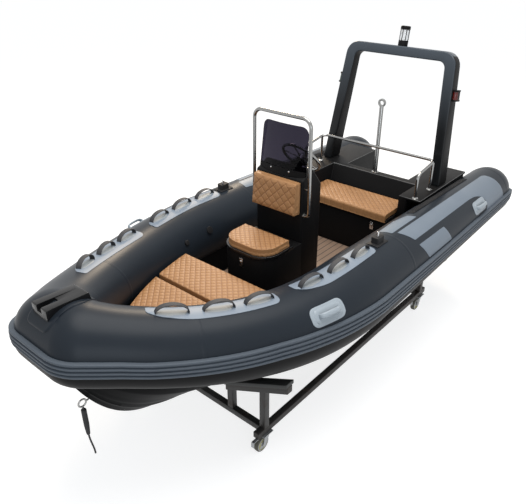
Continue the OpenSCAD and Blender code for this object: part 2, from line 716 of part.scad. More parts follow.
// Helm: boss and shaft on the dash, wheel running on the shaft
dash_mid = (dash_crest + dash_foot) / 2;
dash_slope = atan2(dash_crest.y - dash_foot.y, dash_crest.x - dash_foot.x);
boss_r = 46;
boss_h = 62;
shaft_r = 11;
helm_reach = 130;
hub_r = 30;
hub_h = 34;
rim_r = 11;
spoke_r = 5;
spokes = 5;
module at_helm() {
  translate([dash_mid.x, 0, dash_mid.y]) rotate([0, -dash_slope, 0]) children();
}
module helm_boss() {
  color("#1a1b1d") at_helm() translate([0, 0, seat]) {
    cylinder(r = boss_r, h = boss_h, $fn = fine);
    cylinder(r = shaft_r, h = helm_reach, $fn = fine);
  }
}
module steering_wheel() {
  color("#c9ccd0") at_helm() translate([0, 0, helm_reach - hub_h + seat]) {
    difference() {
      union() {
        cylinder(r = hub_r, h = hub_h, $fn = fine);
        for (i = [0 : spokes - 1]) rotate([0, 0, 360 * i / spokes])
          translate([shaft_r + spoke_r, 0, hub_h / 2])
          rotate([0, 90, 0]) cylinder(r = spoke_r, h = wheel_d / 2 - rim_r - shaft_r - spoke_r,
            $fn = coarse);
      }
      translate([0, 0, -over]) cylinder(r = shaft_r + run_fit, h = hub_h + 2 * over, $fn = fine);
    }
    translate([0, 0, hub_h / 2]) rotate_extrude($fn = fine) translate([wheel_d / 2 - rim_r, 0])
      circle(r = rim_r, $fn = coarse);
  }
}

// Lid hinges: ears and a pin on the locker, a knuckle on the lid that turns on the pin
hinge_r = 9;
hinge_pin_r = 4;
hinge_ear_t = 12;
hinge_knuckle_l = 44;
hinge_side = 1;
hinge_half_l = hinge_knuckle_l / 2 + hinge_side + hinge_ear_t;
module across(y, l) {
  translate([0, y + l / 2, 0]) rotate([90, 0, 0]) linear_extrude(l) children();
}
// The axis is at the origin and the locker rim one drop under it
module hinge_ears(drop) {
  for (s = [-1, 1]) across(s * (hinge_half_l - hinge_ear_t / 2), hinge_ear_t) {
    circle(r = hinge_r, $fn = fine);
    translate([-hinge_r, -drop]) square([2 * hinge_r, drop]);
  }
  across(0, 2 * hinge_half_l) circle(r = hinge_pin_r, $fn = fine);
}
module hinge_notch() {
  across(0, 2 * (hinge_half_l + hinge_side)) translate([-lid_t, -lid_t])
    square([lid_t + hinge_r + move_gap, 2 * lid_t]);
}
module hinge_knuckle() {
  difference() {
    across(0, hinge_knuckle_l) {
      circle(r = hinge_r, $fn = fine);
      translate([0, -hinge_r]) square([hinge_r + move_gap + over, hinge_r]);
    }
    across(0, hinge_knuckle_l + 2 * over) circle(r = hinge_pin_r + run_fit, $fn = fine);
  }
}

// Front seat: a hollow locker with a round nose, its lid hinged behind the cushion
nose_r = 150;
front_hinge_x = 336;
cushion_inset = 4;
front_hinge_z = seat_rim_height + seat + lid_t / 2;
function nose(aft, fore, half, r) =
  rounded([[aft, -half], [fore, -half], [fore, half], [aft, half]], [0, r, r, 0]);
front_hinge_y = 130;
module at_front_hinges() {
  for (y = [-front_hinge_y, front_hinge_y]) translate([front_hinge_x, y, front_hinge_z]) children();
}
module front_locker() {
  color("#141517") {
    difference() {
      translate([0, 0, base_z]) linear_extrude(seat_rim_height - base_z)
        polygon(nose(console_front + seat, seat_front, seat_half_w, nose_r));
      translate([0, 0, base_z + wall_t]) linear_extrude(seat_rim_height)
        polygon(nose(front_hinge_x + wall_t, seat_front - wall_t, seat_half_w - wall_t, nose_r - wall_t));
    }
    at_front_hinges() hinge_ears(front_hinge_z - seat_rim_height + over);
  }
}
module front_lid() {
  color("#141517") {
    difference() {
      translate([0, 0, seat_rim_height + seat]) linear_extrude(lid_t)
        polygon(nose(front_hinge_x, seat_front + cushion_inset, seat_half_w + cushion_inset,
          nose_r + cushion_inset));
      at_front_hinges() hinge_notch();
    }
    at_front_hinges() hinge_knuckle();
  }
}
module front_cushion() {
  color("#b9814c") translate([0, 0, seat_rim_height + 2 * seat + lid_t]) linear_extrude(cushion_t)
    polygon(nose(front_hinge_x + wall_t, seat_front - cushion_inset, seat_half_w - cushion_inset, nose_r));
}

// Aft bench: a hollow locker across the cockpit, its lid hinged in front of the seat back
bench_back = bench_front - bench_depth;
side_gap = 6;
function tube_r_at(x) = mix(tube_r_side, tube_r_stern, (side_x - x) / (side_x - stern_x));
bench_outer_half = tube_half_spacing - tube_r_at(bench_front) - side_gap;
bench_half_w = bench_outer_half - bench_end_gap;
bench_hinge_in = 29;
bench_hinge_x = bench_back + bench_hinge_in;
bench_hinge_z = bench_height + seat + lid_t / 2;
seat_back_ledge = 26;
seat_back_rake = 54;
bench_rim = 60;
bench_hinge_y = 270;
module at_bench_hinges() {
  for (y = [-bench_hinge_y, bench_hinge_y]) translate([bench_hinge_x, y, bench_hinge_z]) children();
}
module bench_locker() {
  color("#141517") {
    difference() {
      translate([bench_back, -bench_outer_half, base_z - decking_t])
        cube([bench_depth, 2 * bench_outer_half, bench_height - base_z + decking_t]);
      translate([bench_back + bench_rim, -bench_half_w + bench_rim, base_z + wall_t])
        cube([bench_depth - bench_rim - wall_t, 2 * (bench_half_w - bench_rim), bench_height]);
    }
    at_bench_hinges() hinge_ears(bench_hinge_z - bench_height + over);
  }
}
module bench_lid() {
  color("#141517") {
    difference() {
      translate([bench_hinge_x, -bench_half_w, bench_height + seat])
        cube([bench_front - bench_hinge_x + cushion_inset, 2 * bench_half_w, lid_t]);
      at_bench_hinges() hinge_notch();
    }
    at_bench_hinges() hinge_knuckle();
  }
}
// The cushion rolls over the front edge of the lid
bench_roll_t = 24;
module bench_cushion() {
  back = bench_hinge_x + cushion_inset;
  front = bench_front + cushion_inset + seat;
  low = bench_height + 2 * seat + lid_t;
  color("#b9814c") translate([0, bench_half_w, 0]) rotate([90, 0, 0]) linear_extrude(2 * bench_half_w)
    polygon(rounded([[back, low], [front, low], [front, low - lid_t], [front + bench_roll_t, low - lid_t],
      [front + bench_roll_t, low + cushion_t], [back, low + cushion_t]],
      [0, 0, 0, bench_roll_t / 2, bench_roll_t, wall_t]));
}

// Quarter deck: seat back, side wings and the deck round the engine well, capped over the tube shoulders
wing_front = -880;
arch_foot_half = tube_half_spacing - arch_foot_in;
arch_top_half = tube_half_spacing - arch_top_in;
cap_past_arch = 8;
cap_half = arch_foot_half + cap_past_arch;
cap_t = 22;
cap_z = tube_height + sqrt(pow(tube_r_at(wing_front), 2) - pow(tube_half_spacing - cap_half, 2)) + side_gap;
deck_z = cap_z + cap_t;
wing_half = bench_half_w + move_gap;
seat_back_top = bench_back - seat_back_ledge - seat_back_rake;
seat_back_t = 70;
well_front = seat_back_top - seat_back_t;
well_in = 445;
well_half = tube_half_spacing - well_in;
quarter_back = -transom_back + transom_t;
quarter_half = tube_half_spacing - tube_r_at(wing_front) - side_gap;
module quarter_plan(half, front, inner) {
  polygon([[front, inner], [front, half], [quarter_back, half], [quarter_back, well_half],
    [well_front, well_half], [well_front, -well_half], [quarter_back, -well_half], [quarter_back, -half],
    [front, -half], [front, -inner],
    [bench_back, -inner], [bench_back, inner]]);
}
module quarter_deck() {
  color("#141517") difference() {
    union() {
      difference() {
        translate([0, 0, floor_height]) linear_extrude(cap_z + cap_t / 2 - floor_height)
          quarter_plan(quarter_half, wing_front, wing_half);
        translate([bench_back, -cap_half, floor_height - over])
          cube([bench_depth, 2 * cap_half, bench_height - floor_height + over]);
      }
      translate([0, 0, cap_z]) linear_extrude(cap_t) quarter_plan(cap_half, wing_front, wing_half);
    }
    translate([0, wing_half, 0]) rotate([90, 0, 0]) linear_extrude(2 * wing_half)
      polygon([[bench_back + over, bench_height], [bench_back - seat_back_ledge, bench_height],
        [seat_back_top, deck_z + over], [bench_back + over, deck_z + over]]);
  }
}

// Transom with the engine cut
module transom_board() {
  color("#16171a") translate([-transom_back, 0, 0]) rotate([90, 0, 90]) linear_extrude(transom_t)
    polygon([[-quarter_half, floor_height], [quarter_half, floor_height], [quarter_half, cap_z],
      [transom_cut_w / 2 + wall_t, cap_z], [transom_cut_w / 2, transom_cut_height],
      [-transom_cut_w / 2, transom_cut_height], [-transom_cut_w / 2 - wall_t, cap_z],
      [-quarter_half, cap_z]]);
}

// Draw latches on the locker fronts
latch = [12, 34, 70];
latch_drop = 30;
bench_latch_in = 140;
bench_latch_y = bench_half_w - bench_latch_in;
module latch_at(x, y, z) {
  translate([x + seat, y - latch.y / 2, z - latch.z]) {
    cube([latch.x / 2, latch.y, latch.z]);
    translate([0, latch.y / 4, latch.z / 4]) cube([latch.x, latch.y / 2, latch.z / 2]);
  }
}
module latches() {
  color("#3b3d40") {
    latch_at(seat_front, 0, seat_rim_height - latch_drop);
    for (y = [-bench_latch_y, bench_latch_y]) latch_at(bench_front, y, bench_height - latch_drop);
  }
}

// Stern rail on four feet
rail_in = 188;
rail_half = tube_half_spacing - rail_in;
rail_fore_x = -910;
rail_aft_x = -1206;
rail_bend = 60;
rail_foot_r = 26;
rail_foot_t = 5;
rail_shoulder_share = 0.82;
module stern_rail() {
  top = rail_height - rail_r;
  low = deck_z + seat;
  shoulder = mix(low, top, rail_shoulder_share);
  port = [[rail_fore_x, rail_half, low], [rail_fore_x, rail_half, shoulder], [rail_aft_x, rail_half, top]];
  color("#c9ccd0") {
    rail(bent_path(concat(port, flip(port)), rail_bend), rail_r, [1, 0, 1]);
    both_sides() {
      translate([rail_aft_x + rail_bend / 2, rail_half, low]) {
        cylinder(r = rail_r, h = top - low - rail_r / 2, $fn = fine);
        cylinder(r = rail_foot_r, h = rail_foot_t, $fn = fine);
      }
      translate([rail_fore_x, rail_half, low]) cylinder(r = rail_foot_r, h = rail_foot_t, $fn = fine);
    }
  }
}

// Tow pole with a ring at its head
tow_x = rail_aft_x - rail_r - tow_pole_r - seat;
tow_ring_r = 37;
tow_foot_r = 34;
tow_hole_r = 20;
tow_ring_t = 18;
tow_neck_share = 0.3;
module tow_pole() {
  ring_z = tow_height - tow_ring_r;
  color("#a9acb0") difference() {
    union() {
      translate([tow_x, 0, deck_z + seat])
        cylinder(r = tow_pole_r, h = ring_z - deck_z - mix(tow_hole_r, tow_ring_r, tow_neck_share),
          $fn = fine);
      translate([tow_x, 0, deck_z + seat]) cylinder(r = tow_foot_r, h = rail_foot_t, $fn = fine);
      translate([tow_x - tow_ring_t / 2, 0, ring_z]) rotate([0, 90, 0])
        cylinder(r = tow_ring_r, h = tow_ring_t, $fn = fine);
    }
    translate([tow_x - tow_pole_r - over, 0, ring_z]) rotate([0, 90, 0])
      cylinder(r = tow_hole_r, h = 2 * (tow_pole_r + over), $fn = fine);
  }
}

// Radar arch, raked aft, standing on the quarter deck, its legs deeper at the foot
arch_foot_x = -1275;
arch_corner_r = 120;
arch_beam_h = 84;
module raked() {
  translate([arch_foot_x, 0, deck_z + seat]) rotate([0, -arch_rake, 0]) children();
}
arch_rise = (arch_height - deck_z) / cos(arch_rake);
module arch() {
  low = -arch_leg_d;
  outer = [[arch_foot_half, low], [arch_top_half, arch_rise], [-arch_top_half, arch_rise],
    [-arch_foot_half, low]];
  inner = [[arch_leg_w - arch_foot_half, low], [arch_leg_w - arch_top_half, arch_rise - arch_beam_h],
    [arch_top_half - arch_leg_w, arch_rise - arch_beam_h], [arch_foot_half - arch_leg_w, low]];
  r = arch_corner_r;
  wide = arch_foot_half + over;
  color("#3d444c") difference() {
    raked() intersection() {
      translate([-arch_leg_d, 0, 0]) rotate([90, 0, 90]) linear_extrude(arch_leg_d)
        polygon(concat(rounded(outer, [0, r, r, 0]), rounded(inner, [0, r / 2, r / 2, 0])));
      translate([0, wide, 0]) rotate([90, 0, 0]) linear_extrude(2 * wide)
        polygon([[0, low - over], [0, arch_rise + over], [-arch_top_d, arch_rise + over],
          [-arch_leg_d, low - over]]);
    }
    translate([arch_foot_x - 2 * arch_leg_d, -arch_height, 0])
      cube([4 * arch_leg_d, 2 * arch_height, deck_z + seat]);
  }
}
// All-round light: base, lens and cap
light_r = 43;
light_base_h = 46;
light_lens_h = 92;
light_cap_h = 30;
light_cap_r = 10;
light_lens_share = 0.93;
module masthead_light() {
  lens_z = light_base_h + light_lens_h;
  lens_r = light_r * light_lens_share;
  color("#d8dce0") raked() translate([-arch_top_d / 2, 0, arch_rise + seat]) rotate_extrude($fn = fine)
    polygon(rounded([[0, 0], [light_r, 0], [light_r, light_base_h], [lens_r, light_base_h], [lens_r, lens_z],
      [light_r, lens_z], [light_r, lens_z + light_cap_h], [0, lens_z + light_cap_h]],
      [0, 0, 0, 0, 0, 0, light_cap_r, 0]));
}
// Side lights: a housing with a round-cornered lens let in between its base and its hood
side_light = [70, 40, 95];
side_light_share = 0.735;
side_light_back_share = 0.6;
side_light_r = 24;
side_light_plate_t = 14;
side_light_in = 4;
module side_light_plan(inset) {
  fore = side_light.x / 2 - inset;
  out = side_light.y - inset;
  polygon(rounded([[-side_light.x / 2, 0], [fore, 0], [fore, out], [-side_light.x / 2, out]],
    [0, 0, side_light_r, 0]));
}
module side_light_block() {
  // The leg edge starts one leg depth under the deck
  rise = arch_rise + arch_leg_d;
  y = mix(arch_foot_half, arch_top_half, side_light_share);
  lean = atan2(arch_foot_half - arch_top_half, rise);
  raked() translate([-arch_top_d * side_light_back_share, y, rise * side_light_share - arch_leg_d])
    rotate([lean, 0, 0]) translate([0, seat, -side_light.z / 2]) {
      linear_extrude(side_light_plate_t) side_light_plan(0);
      linear_extrude(side_light.z) side_light_plan(side_light_in);
      translate([0, 0, side_light.z - side_light_plate_t]) linear_extrude(side_light_plate_t)
        side_light_plan(0);
    }
}
module side_light_port() {
  color("#7a1f1f") side_light_block();
}
module side_light_starboard() {
  color("#1f5a3a") mirror([0, 1, 0]) side_light_block();
}

// Castors: plate and kingpin on the cradle, swivelling fork, running wheel
axle_r = 5;
king_r = 6;
king_boss_h = 6;
king_boss_r = 16;
plate = [100, 86, 6];
fork_t = 5;
fork_top_t = 6;
fork_gap = 6;
castor_top = castor_d + fork_gap + fork_top_t + seat + king_boss_h + plate.z;
rail_top = castor_top + cradle_tube;
castor_places = [[castor_ahead, 1], [castor_ahead, -1], [-castor_behind, 1], [-castor_behind, -1]];
module castor_at(i) {
  translate([castor_places[i].x, castor_places[i].y * castor_half_track, 0]) children();
}
module castor_plates() {
  color("#8e9296") for (i = [0 : 3]) castor_at(i) {
    translate([-plate.x / 2, -plate.y / 2, castor_top - plate.z]) cube(plate);
    translate([0, 0, castor_top - plate.z - king_boss_h])
      cylinder(r = king_boss_r, h = king_boss_h + over, $fn = fine);
    translate([0, 0, castor_d + fork_gap - king_boss_h / 2])
      cylinder(r = king_r, h = fork_top_t + king_boss_h + over, $fn = fine);
  }
}
fork_plate_r = 38;
fork_arm = 16;
fork_neck_share = 0.6;
fork_arm_r = 12;
// Brake pedal: a strap over the wheel that turns down in front of it
pedal_w = 24;
pedal_out = 30;
pedal_drop = 40;
pedal_r = 10;
module castor_fork() {
  z = castor_d + fork_gap;
  inner = castor_w / 2 + move_gap;
  tip = castor_trail + castor_d / 2 + pedal_out;
  difference() {
    union() {
      translate([0, 0, z]) cylinder(r = fork_plate_r, h = fork_top_t, $fn = fine);
      for (s = [-1, 1]) translate([0, s * inner + (s > 0 ? fork_t : 0), 0]) rotate([90, 0, 0])
        linear_extrude(fork_t) polygon(rounded([[-fork_plate_r * fork_neck_share, z + over],
          [castor_trail - fork_arm, castor_d / 2 - fork_arm],
          [castor_trail + fork_arm, castor_d / 2 - fork_arm],
          [fork_plate_r * fork_neck_share, z + over]], [0, fork_arm_r, fork_arm_r, 0]));
      translate([0, pedal_w / 2, 0]) rotate([90, 0, 0]) linear_extrude(pedal_w)
        polygon(rounded([[king_r + fork_t, z], [tip - fork_top_t, z], [tip - fork_top_t, z - pedal_drop],
          [tip, z - pedal_drop], [tip, z + fork_top_t], [king_r + fork_t, z + fork_top_t]],
          [0, pedal_r - fork_top_t, 0, 0, pedal_r, 0]));
    }
    translate([0, 0, z - over]) cylinder(r = king_r + run_fit, h = fork_top_t + 2 * over, $fn = fine);
  }
  translate([castor_trail, inner + fork_t, castor_d / 2]) rotate([90, 0, 0])
    cylinder(r = axle_r, h = 2 * (inner + fork_t), $fn = fine);
}
tyre_round = 9;
tyre_t = 17;
wheel_hub_r = 18;
wheel_dish = 5;
// Half of the wheel section, from the middle plane out to one side
function wheel_half(side) =
  [[castor_d / 2, side * castor_w / 2], [castor_d / 2 - tyre_t, side * castor_w / 2],
  [castor_d / 2 - tyre_t, side * (castor_w / 2 - wheel_dish)],
  [wheel_hub_r, side * (castor_w / 2 - wheel_dish)],
  [wheel_hub_r, side * castor_w / 2], [axle_r + run_fit, side * castor_w / 2]];
module castor_wheel() {
  translate([castor_trail, 0, castor_d / 2]) rotate([90, 0, 0]) rotate_extrude($fn = fine)
    polygon(rounded(concat(wheel_half(1), turned(wheel_half(-1))),
      [tyre_round, 0, 0, 0, 0, 0, 0, 0, 0, 0, 0, tyre_round]));
}
module castor_fork_fp() { color("#8e9296") castor_at(0) castor_fork(); }
module castor_fork_fs() { color("#8e9296") castor_at(1) castor_fork(); }
module castor_fork_ap() { color("#8e9296") castor_at(2) castor_fork(); }
module castor_fork_as() { color("#8e9296") castor_at(3) castor_fork(); }
module castor_wheel_fp() { color("#3d3a2c") castor_at(0) castor_wheel(); }
module castor_wheel_fs() { color("#3d3a2c") castor_at(1) castor_wheel(); }
module castor_wheel_ap() { color("#3d3a2c") castor_at(2) castor_wheel(); }
module castor_wheel_as() { color("#3d3a2c") castor_at(3) castor_wheel(); }

// Cradle: side rails and cross beams, posts, and sloping bunks along the hull bottom
bunk_pad_t = 30;
bunk_w = 80;
bunk_in = 300;
bunk_out = 860;
rail_overhang = 90;
module square_bar(from, size) {
  translate(from) cube(size);
}
module cradle_rails() {
  l = castor_ahead + castor_behind + 2 * rail_overhang;
  inner = castor_half_track - cradle_tube / 2;
  color("#6e6a66") {
    for (s = [-1, 1]) square_bar([-castor_behind - rail_overhang,
      s * castor_half_track - cradle_tube / 2, castor_top],
      [l, cradle_tube, cradle_tube]);
    for (x = [castor_ahead, -castor_behind]) square_bar([x - cradle_tube / 2, -inner, castor_top],
      [cradle_tube, 2 * inner, cradle_tube]);
  }
}
// Slope of the hull bottom at a bunk, taken at the lower edge of the pad
function bunk_slope(t) = let (c = chine_point(t)) (c.z - keel_height) / c.y;
front_bunk_back = 240;
front_bunk_t = t_at(castor_ahead - front_bunk_back);
aft_bunk_t = t_at(bunk_w / 2 - castor_behind);
bunk_rows = [[castor_ahead, bunk_slope(front_bunk_t)], [-castor_behind, bunk_slope(aft_bunk_t)]];
function bunk_z(y, slope) = keel_height + y * slope - seat * sqrt(1 + slope * slope);
module bunk_slab(row, top, t, w, y0, y1) {
  m = row[1];
  up = sqrt(1 + m * m);
  translate([row[0] - w / 2, 0, 0]) rotate([90, 0, 90]) linear_extrude(w)
    polygon([[y0, bunk_z(y0, m) - (top + t) * up], [y1, bunk_z(y1, m) - (top + t) * up],
      [y1, bunk_z(y1, m) - top * up], [y0, bunk_z(y0, m) - top * up]]);
}
module bunk_pads() {
  color("#1c1c1d") both_sides() for (row = bunk_rows)
    bunk_slab(row, 0, bunk_pad_t, bunk_w, bunk_in, bunk_out);
}
post_inner_y = 340;
module cradle_posts() {
  color("#6e6a66") both_sides() for (row = bunk_rows) {
    m = row[1];
    drop = (bunk_pad_t + cradle_tube) * sqrt(1 + m * m);
    bunk_slab(row, bunk_pad_t, cradle_tube, cradle_tube, bunk_in, bunk_out);
    for (y = [post_inner_y, castor_half_track])
      translate([row[0] - cradle_tube / 2, 0, 0]) rotate([90, 0, 90]) linear_extrude(cradle_tube)
        polygon([[y - cradle_tube / 2, rail_top], [y + cradle_tube / 2, rail_top],
          [y + cradle_tube / 2, bunk_z(y + cradle_tube / 2, m) - drop + over],
          [y - cradle_tube / 2, bunk_z(y - cradle_tube / 2, m) - drop + over]]);
  }
}

boat_hull();
floor_decking();
bow_deck();
collar_bow();
collar_port();
collar_starboard();
rub_strake();
handle_pads();
grab_handles();
lifting_handles();
wear_patches();
step_pads();
mooring_posts();
air_valves();
bow_chock();
bow_eye();
bow_rope();
rope_whipping();
bow_cushion_aft();
bow_cushion_forward();
console();
windscreen();
console_hoop();
backrest_pad();
helm_boss();
steering_wheel();
front_locker();
front_lid();
front_cushion();
bench_locker();
bench_lid();
bench_cushion();
quarter_deck();
transom_board();
latches();
stern_rail();
tow_pole();
arch();
masthead_light();
side_light_port();
side_light_starboard();
cradle_rails();
cradle_posts();
bunk_pads();
castor_plates();
castor_fork_fp();
castor_fork_fs();
castor_fork_ap();
castor_fork_as();
castor_wheel_fp();
castor_wheel_fs();
castor_wheel_ap();
castor_wheel_as();
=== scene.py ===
import bpy
import bmesh
import json
import math
import numpy as np
from mathutils import Vector, Matrix
from mathutils.geometry import delaunay_2d_cdt


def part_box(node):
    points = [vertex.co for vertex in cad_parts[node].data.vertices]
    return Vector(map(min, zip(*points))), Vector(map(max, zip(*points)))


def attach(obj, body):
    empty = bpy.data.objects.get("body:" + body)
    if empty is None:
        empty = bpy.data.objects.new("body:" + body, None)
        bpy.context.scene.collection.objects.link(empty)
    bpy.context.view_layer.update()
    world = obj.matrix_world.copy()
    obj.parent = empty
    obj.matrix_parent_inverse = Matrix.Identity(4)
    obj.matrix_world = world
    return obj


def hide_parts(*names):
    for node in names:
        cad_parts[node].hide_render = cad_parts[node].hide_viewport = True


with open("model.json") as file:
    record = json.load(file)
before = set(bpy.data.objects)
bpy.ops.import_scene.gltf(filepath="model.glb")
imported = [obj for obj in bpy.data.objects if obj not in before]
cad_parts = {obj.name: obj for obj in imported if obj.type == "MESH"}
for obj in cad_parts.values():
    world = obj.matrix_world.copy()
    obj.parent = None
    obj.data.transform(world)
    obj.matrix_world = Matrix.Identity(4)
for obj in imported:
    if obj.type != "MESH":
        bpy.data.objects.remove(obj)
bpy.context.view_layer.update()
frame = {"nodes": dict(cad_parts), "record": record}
scene = bpy.context.scene
cad = frame["nodes"]
bodyOfNode = {n: b for b, names in frame["record"]["behaviour"]["bodies"].items() for n in names}

bothSides = ((1, "Port"), (-1, "Starboard"))


def linked(name, data):
    obj = bpy.data.objects.new(name, data)
    scene.collection.objects.link(obj)
    return obj


# camera
cameraSetup = {"place": (3.358, 2.519, 3.192), "right": (-0.6496, 0.7603, 0.0), "up": (-0.3684, -0.3147, 0.8749),
               "pixels": 570.0, "imageWidth": 526.0, "sensor": 36.0}


def addCamera(c):
    data = bpy.data.cameras.new("camera")
    data.sensor_fit = "HORIZONTAL"
    data.sensor_width = c["sensor"]
    data.lens = c["pixels"] / c["imageWidth"] * c["sensor"]
    data.clip_end = 200
    cam = linked("camera", data)
    right, up = Vector(c["right"]).normalized(), Vector(c["up"]).normalized()
    back = right.cross(up)
    cam.matrix_world = Matrix.Translation(c["place"]) @ Matrix((right, up, back)).transposed().to_4x4()
    scene.camera = cam


addCamera(cameraSetup)
print("camera set")

# light, floor and backdrop
scene.view_settings.view_transform = "Standard"
studio = {"world": (0.92, 0.96, 1.0), "worldStrength": 0.58, "floor": 0.80, "floorSeen": 0.42, "floorWhite": 0.77,
          "floorSize": 60.0,
          "lamps": [("overhead", (0.3, 0.6, 6.0), (0, 0, 0.9), 5.0, 290, (1.0, 0.985, 0.96)),
                    ("bowFill", (4.6, 4.6, 2.6), (0.6, 0.6, 0.9), 3.0, 60, (0.84, 0.92, 1.0)),
                    ("sternGlow", (-4.2, -4.2, 4.8), (0.8, 0, 1.1), 1.6, 210, (1.0, 0.82, 0.62))]}


def addLamp(name, place, target, size, watts, colour):
    data = bpy.data.lights.new(name, "AREA")
    data.shape = "DISK"
    data.size = size
    data.energy = watts
    data.color = colour
    lamp = linked(name, data)
    lamp.location = place
    lamp.rotation_mode = "QUATERNION"
    lamp.rotation_quaternion = (Vector(target) - Vector(place)).to_track_quat("-Z", "Y")


def feed(tree, socket, value):
    # a socket is linked, a colour, vector or number is set
    if isinstance(value, bpy.types.NodeSocket):
        tree.links.new(value, socket)
    else:
        socket.default_value = (*value, 1)[:len(socket.default_value)] if isinstance(value, tuple) else value


def put(tree, kind, inputs=(), **settings):
    node = tree.nodes.new("ShaderNode" + kind)
    for key, value in settings.items():
        setattr(node, key, value)
    for key, value in dict(inputs).items():
        feed(tree, node.inputs[key], value)
    return node


def maths(tree, operation, a, b=None, clamp=False):
    inputs = {0: a} if b is None else {0: a, 1: b}
    return put(tree, "Math", inputs, operation=operation, use_clamp=clamp).outputs[0]


def spread(tree, value, low, high, toLow=0.0, toHigh=1.0):
    ends = {"Value": value, "From Min": low, "From Max": high, "To Min": toLow, "To Max": toHigh}
    return put(tree, "MapRange", ends).outputs["Result"]


def objectPlace(tree):
    return put(tree, "TexCoord").outputs["Object"]


def noise(tree, place, scale, detail, **more):
    return put(tree, "TexNoise", {"Vector": place, "Scale": scale, "Detail": detail, **more}).outputs["Fac"]


def newMat(name, **sockets):
    mat = bpy.data.materials.new(name)
    mat.use_nodes = True
    shade = mat.node_tree.nodes["Principled BSDF"]
    for label, value in sockets.items():
        feed(mat.node_tree, shade.inputs[label], value)
    return mat, mat.node_tree, shade


def seenWhite(tree):
    # rays that reach the eye, a mirror or through glass
    path = put(tree, "LightPath").outputs
    seen = maths(tree, "MAXIMUM", path["Is Camera Ray"], path["Is Glossy Ray"])
    return maths(tree, "MAXIMUM", seen, path["Is Transmission Ray"])


def addStudio(s):
    world = bpy.data.worlds.new("studio")
    scene.world = world
    world.use_nodes = True
    tree = world.node_tree
    tree.nodes.clear()
    light = put(tree, "Background", {"Color": s["world"], "Strength": s["worldStrength"]})
    white = put(tree, "Background", {"Color": (1, 1, 1)})
    mix = put(tree, "MixShader", {0: seenWhite(tree), 1: light.outputs[0], 2: white.outputs[0]})
    put(tree, "OutputWorld", {"Surface": mix.outputs[0]})
    for row in s["lamps"]:
        addLamp(*row)
    half = s["floorSize"] / 2
    mesh = bpy.data.meshes.new("floor")
    mesh.from_pydata([(-half, -half, 0), (half, -half, 0), (half, half, 0), (-half, half, 0)], [], [(0, 1, 2, 3)])
    floor = linked("floor", mesh)
    mat, tree, shade = newMat("paleFloor", **{"Base Color": (s["floor"],) * 3, "Roughness": 0.9})
    # what the eye sees: white, dimmed only where the shadow lies
    glow = put(tree, "Emission", {"Strength": s["floorWhite"]})
    shadow = put(tree, "BsdfDiffuse", {"Color": (s["floorSeen"],) * 3})
    both = put(tree, "AddShader", {0: glow.outputs[0], 1: shadow.outputs[0]})
    mix = put(tree, "MixShader", {0: seenWhite(tree), 1: shade.outputs[0], 2: both.outputs[0]})
    feed(tree, tree.nodes["Material Output"].inputs["Surface"], mix.outputs[0])
    mesh.materials.append(mat)


addStudio(studio)
print("studio set")


# shader node groups
def newGroup(name, inputs, build):
    # build gives the outputs, made from the inputs and the place on the object
    group = bpy.data.node_groups.new(name, "ShaderNodeTree")
    for label, value in inputs.items():
        sock = group.interface.new_socket(label, in_out="INPUT", socket_type="NodeSocketFloat")
        sock.default_value = value
    made = build(group, group.nodes.new("NodeGroupInput").outputs, objectPlace(group))
    for label in made:
        group.interface.new_socket(label, in_out="OUTPUT", socket_type="NodeSocketFloat")
    out = group.nodes.new("NodeGroupOutput")
    for label, value in made.items():
        feed(group, out.inputs[label], value)
    return group


def grainParts(tree, inp, place):
    # fine surface grain and slow tone changes
    return {"Height": noise(tree, place, inp["Scale"], inp["Detail"]), "Tone": noise(tree, place, 3.2, 4.0)}


def weaveParts(tree, inp, place):
    # crossed threads of a coated or woven cloth
    x, y, z = put(tree, "SeparateXYZ", {0: place}).outputs
    waves = [maths(tree, "SINE", maths(tree, "MULTIPLY", axis, inp["Threads"]))
             for axis in (x, maths(tree, "ADD", y, z))]
    return {"Height": maths(tree, "MULTIPLY_ADD", maths(tree, "MULTIPLY", *waves), 0.5)}


def pebbleParts(tree, inp, place):
    # pebbled skin of leather cloth
    cells = put(tree, "TexVoronoi", {"Vector": place, "Scale": inp["Scale"]}, feature="DISTANCE_TO_EDGE")
    return {"Height": spread(tree, cells.outputs["Distance"], 0.0, 0.35), "Tone": noise(tree, place, 14.0, 5.0)}


def rubParts(tree, inp, place):
    # worn outer edges and blotches, for rust
    sharp = maths(tree, "SUBTRACT", put(tree, "NewGeometry").outputs["Pointiness"], inp["Edge"])
    blotch = noise(tree, place, inp["Scale"], 8.0, Roughness=0.66)
    return {"Edge": maths(tree, "MULTIPLY", sharp, 9.0, True), "Blotch": spread(tree, blotch, 0.50, 0.68)}


def settledParts(tree, inp, place):
    # dust that lies on faces that look up
    up = put(tree, "SeparateXYZ", {0: put(tree, "NewGeometry").outputs["Normal"]}).outputs["Z"]
    part = maths(tree, "MULTIPLY", spread(tree, up, 0.35, 1.0), spread(tree, noise(tree, place, 6.0, 7.0), 0.35, 0.75))
    return {"Mask": maths(tree, "MULTIPLY", part, inp["Amount"])}


grain = newGroup("fineGrain", {"Scale": 200.0, "Detail": 5.0}, grainParts)
weave = newGroup("clothWeave", {"Threads": 900.0}, weaveParts)
pebble = newGroup("leatherPebble", {"Scale": 420.0}, pebbleParts)
rub = newGroup("edgeRub", {"Scale": 9.0, "Edge": 0.52}, rubParts)
settled = newGroup("settledDust", {"Amount": 0.4}, settledParts)


def use(tree, group, **values):
    return put(tree, "Group", values, node_tree=group).outputs


def blendColour(tree, mask, a, b):
    return put(tree, "Mix", {"Factor": mask, 6: a, 7: b}, data_type="RGBA").outputs[2]


def bump(tree, shade, height, strength, distance):
    node = put(tree, "Bump", {"Strength": strength, "Distance": distance, "Height": height})
    feed(tree, shade.inputs["Normal"], node.outputs[0])


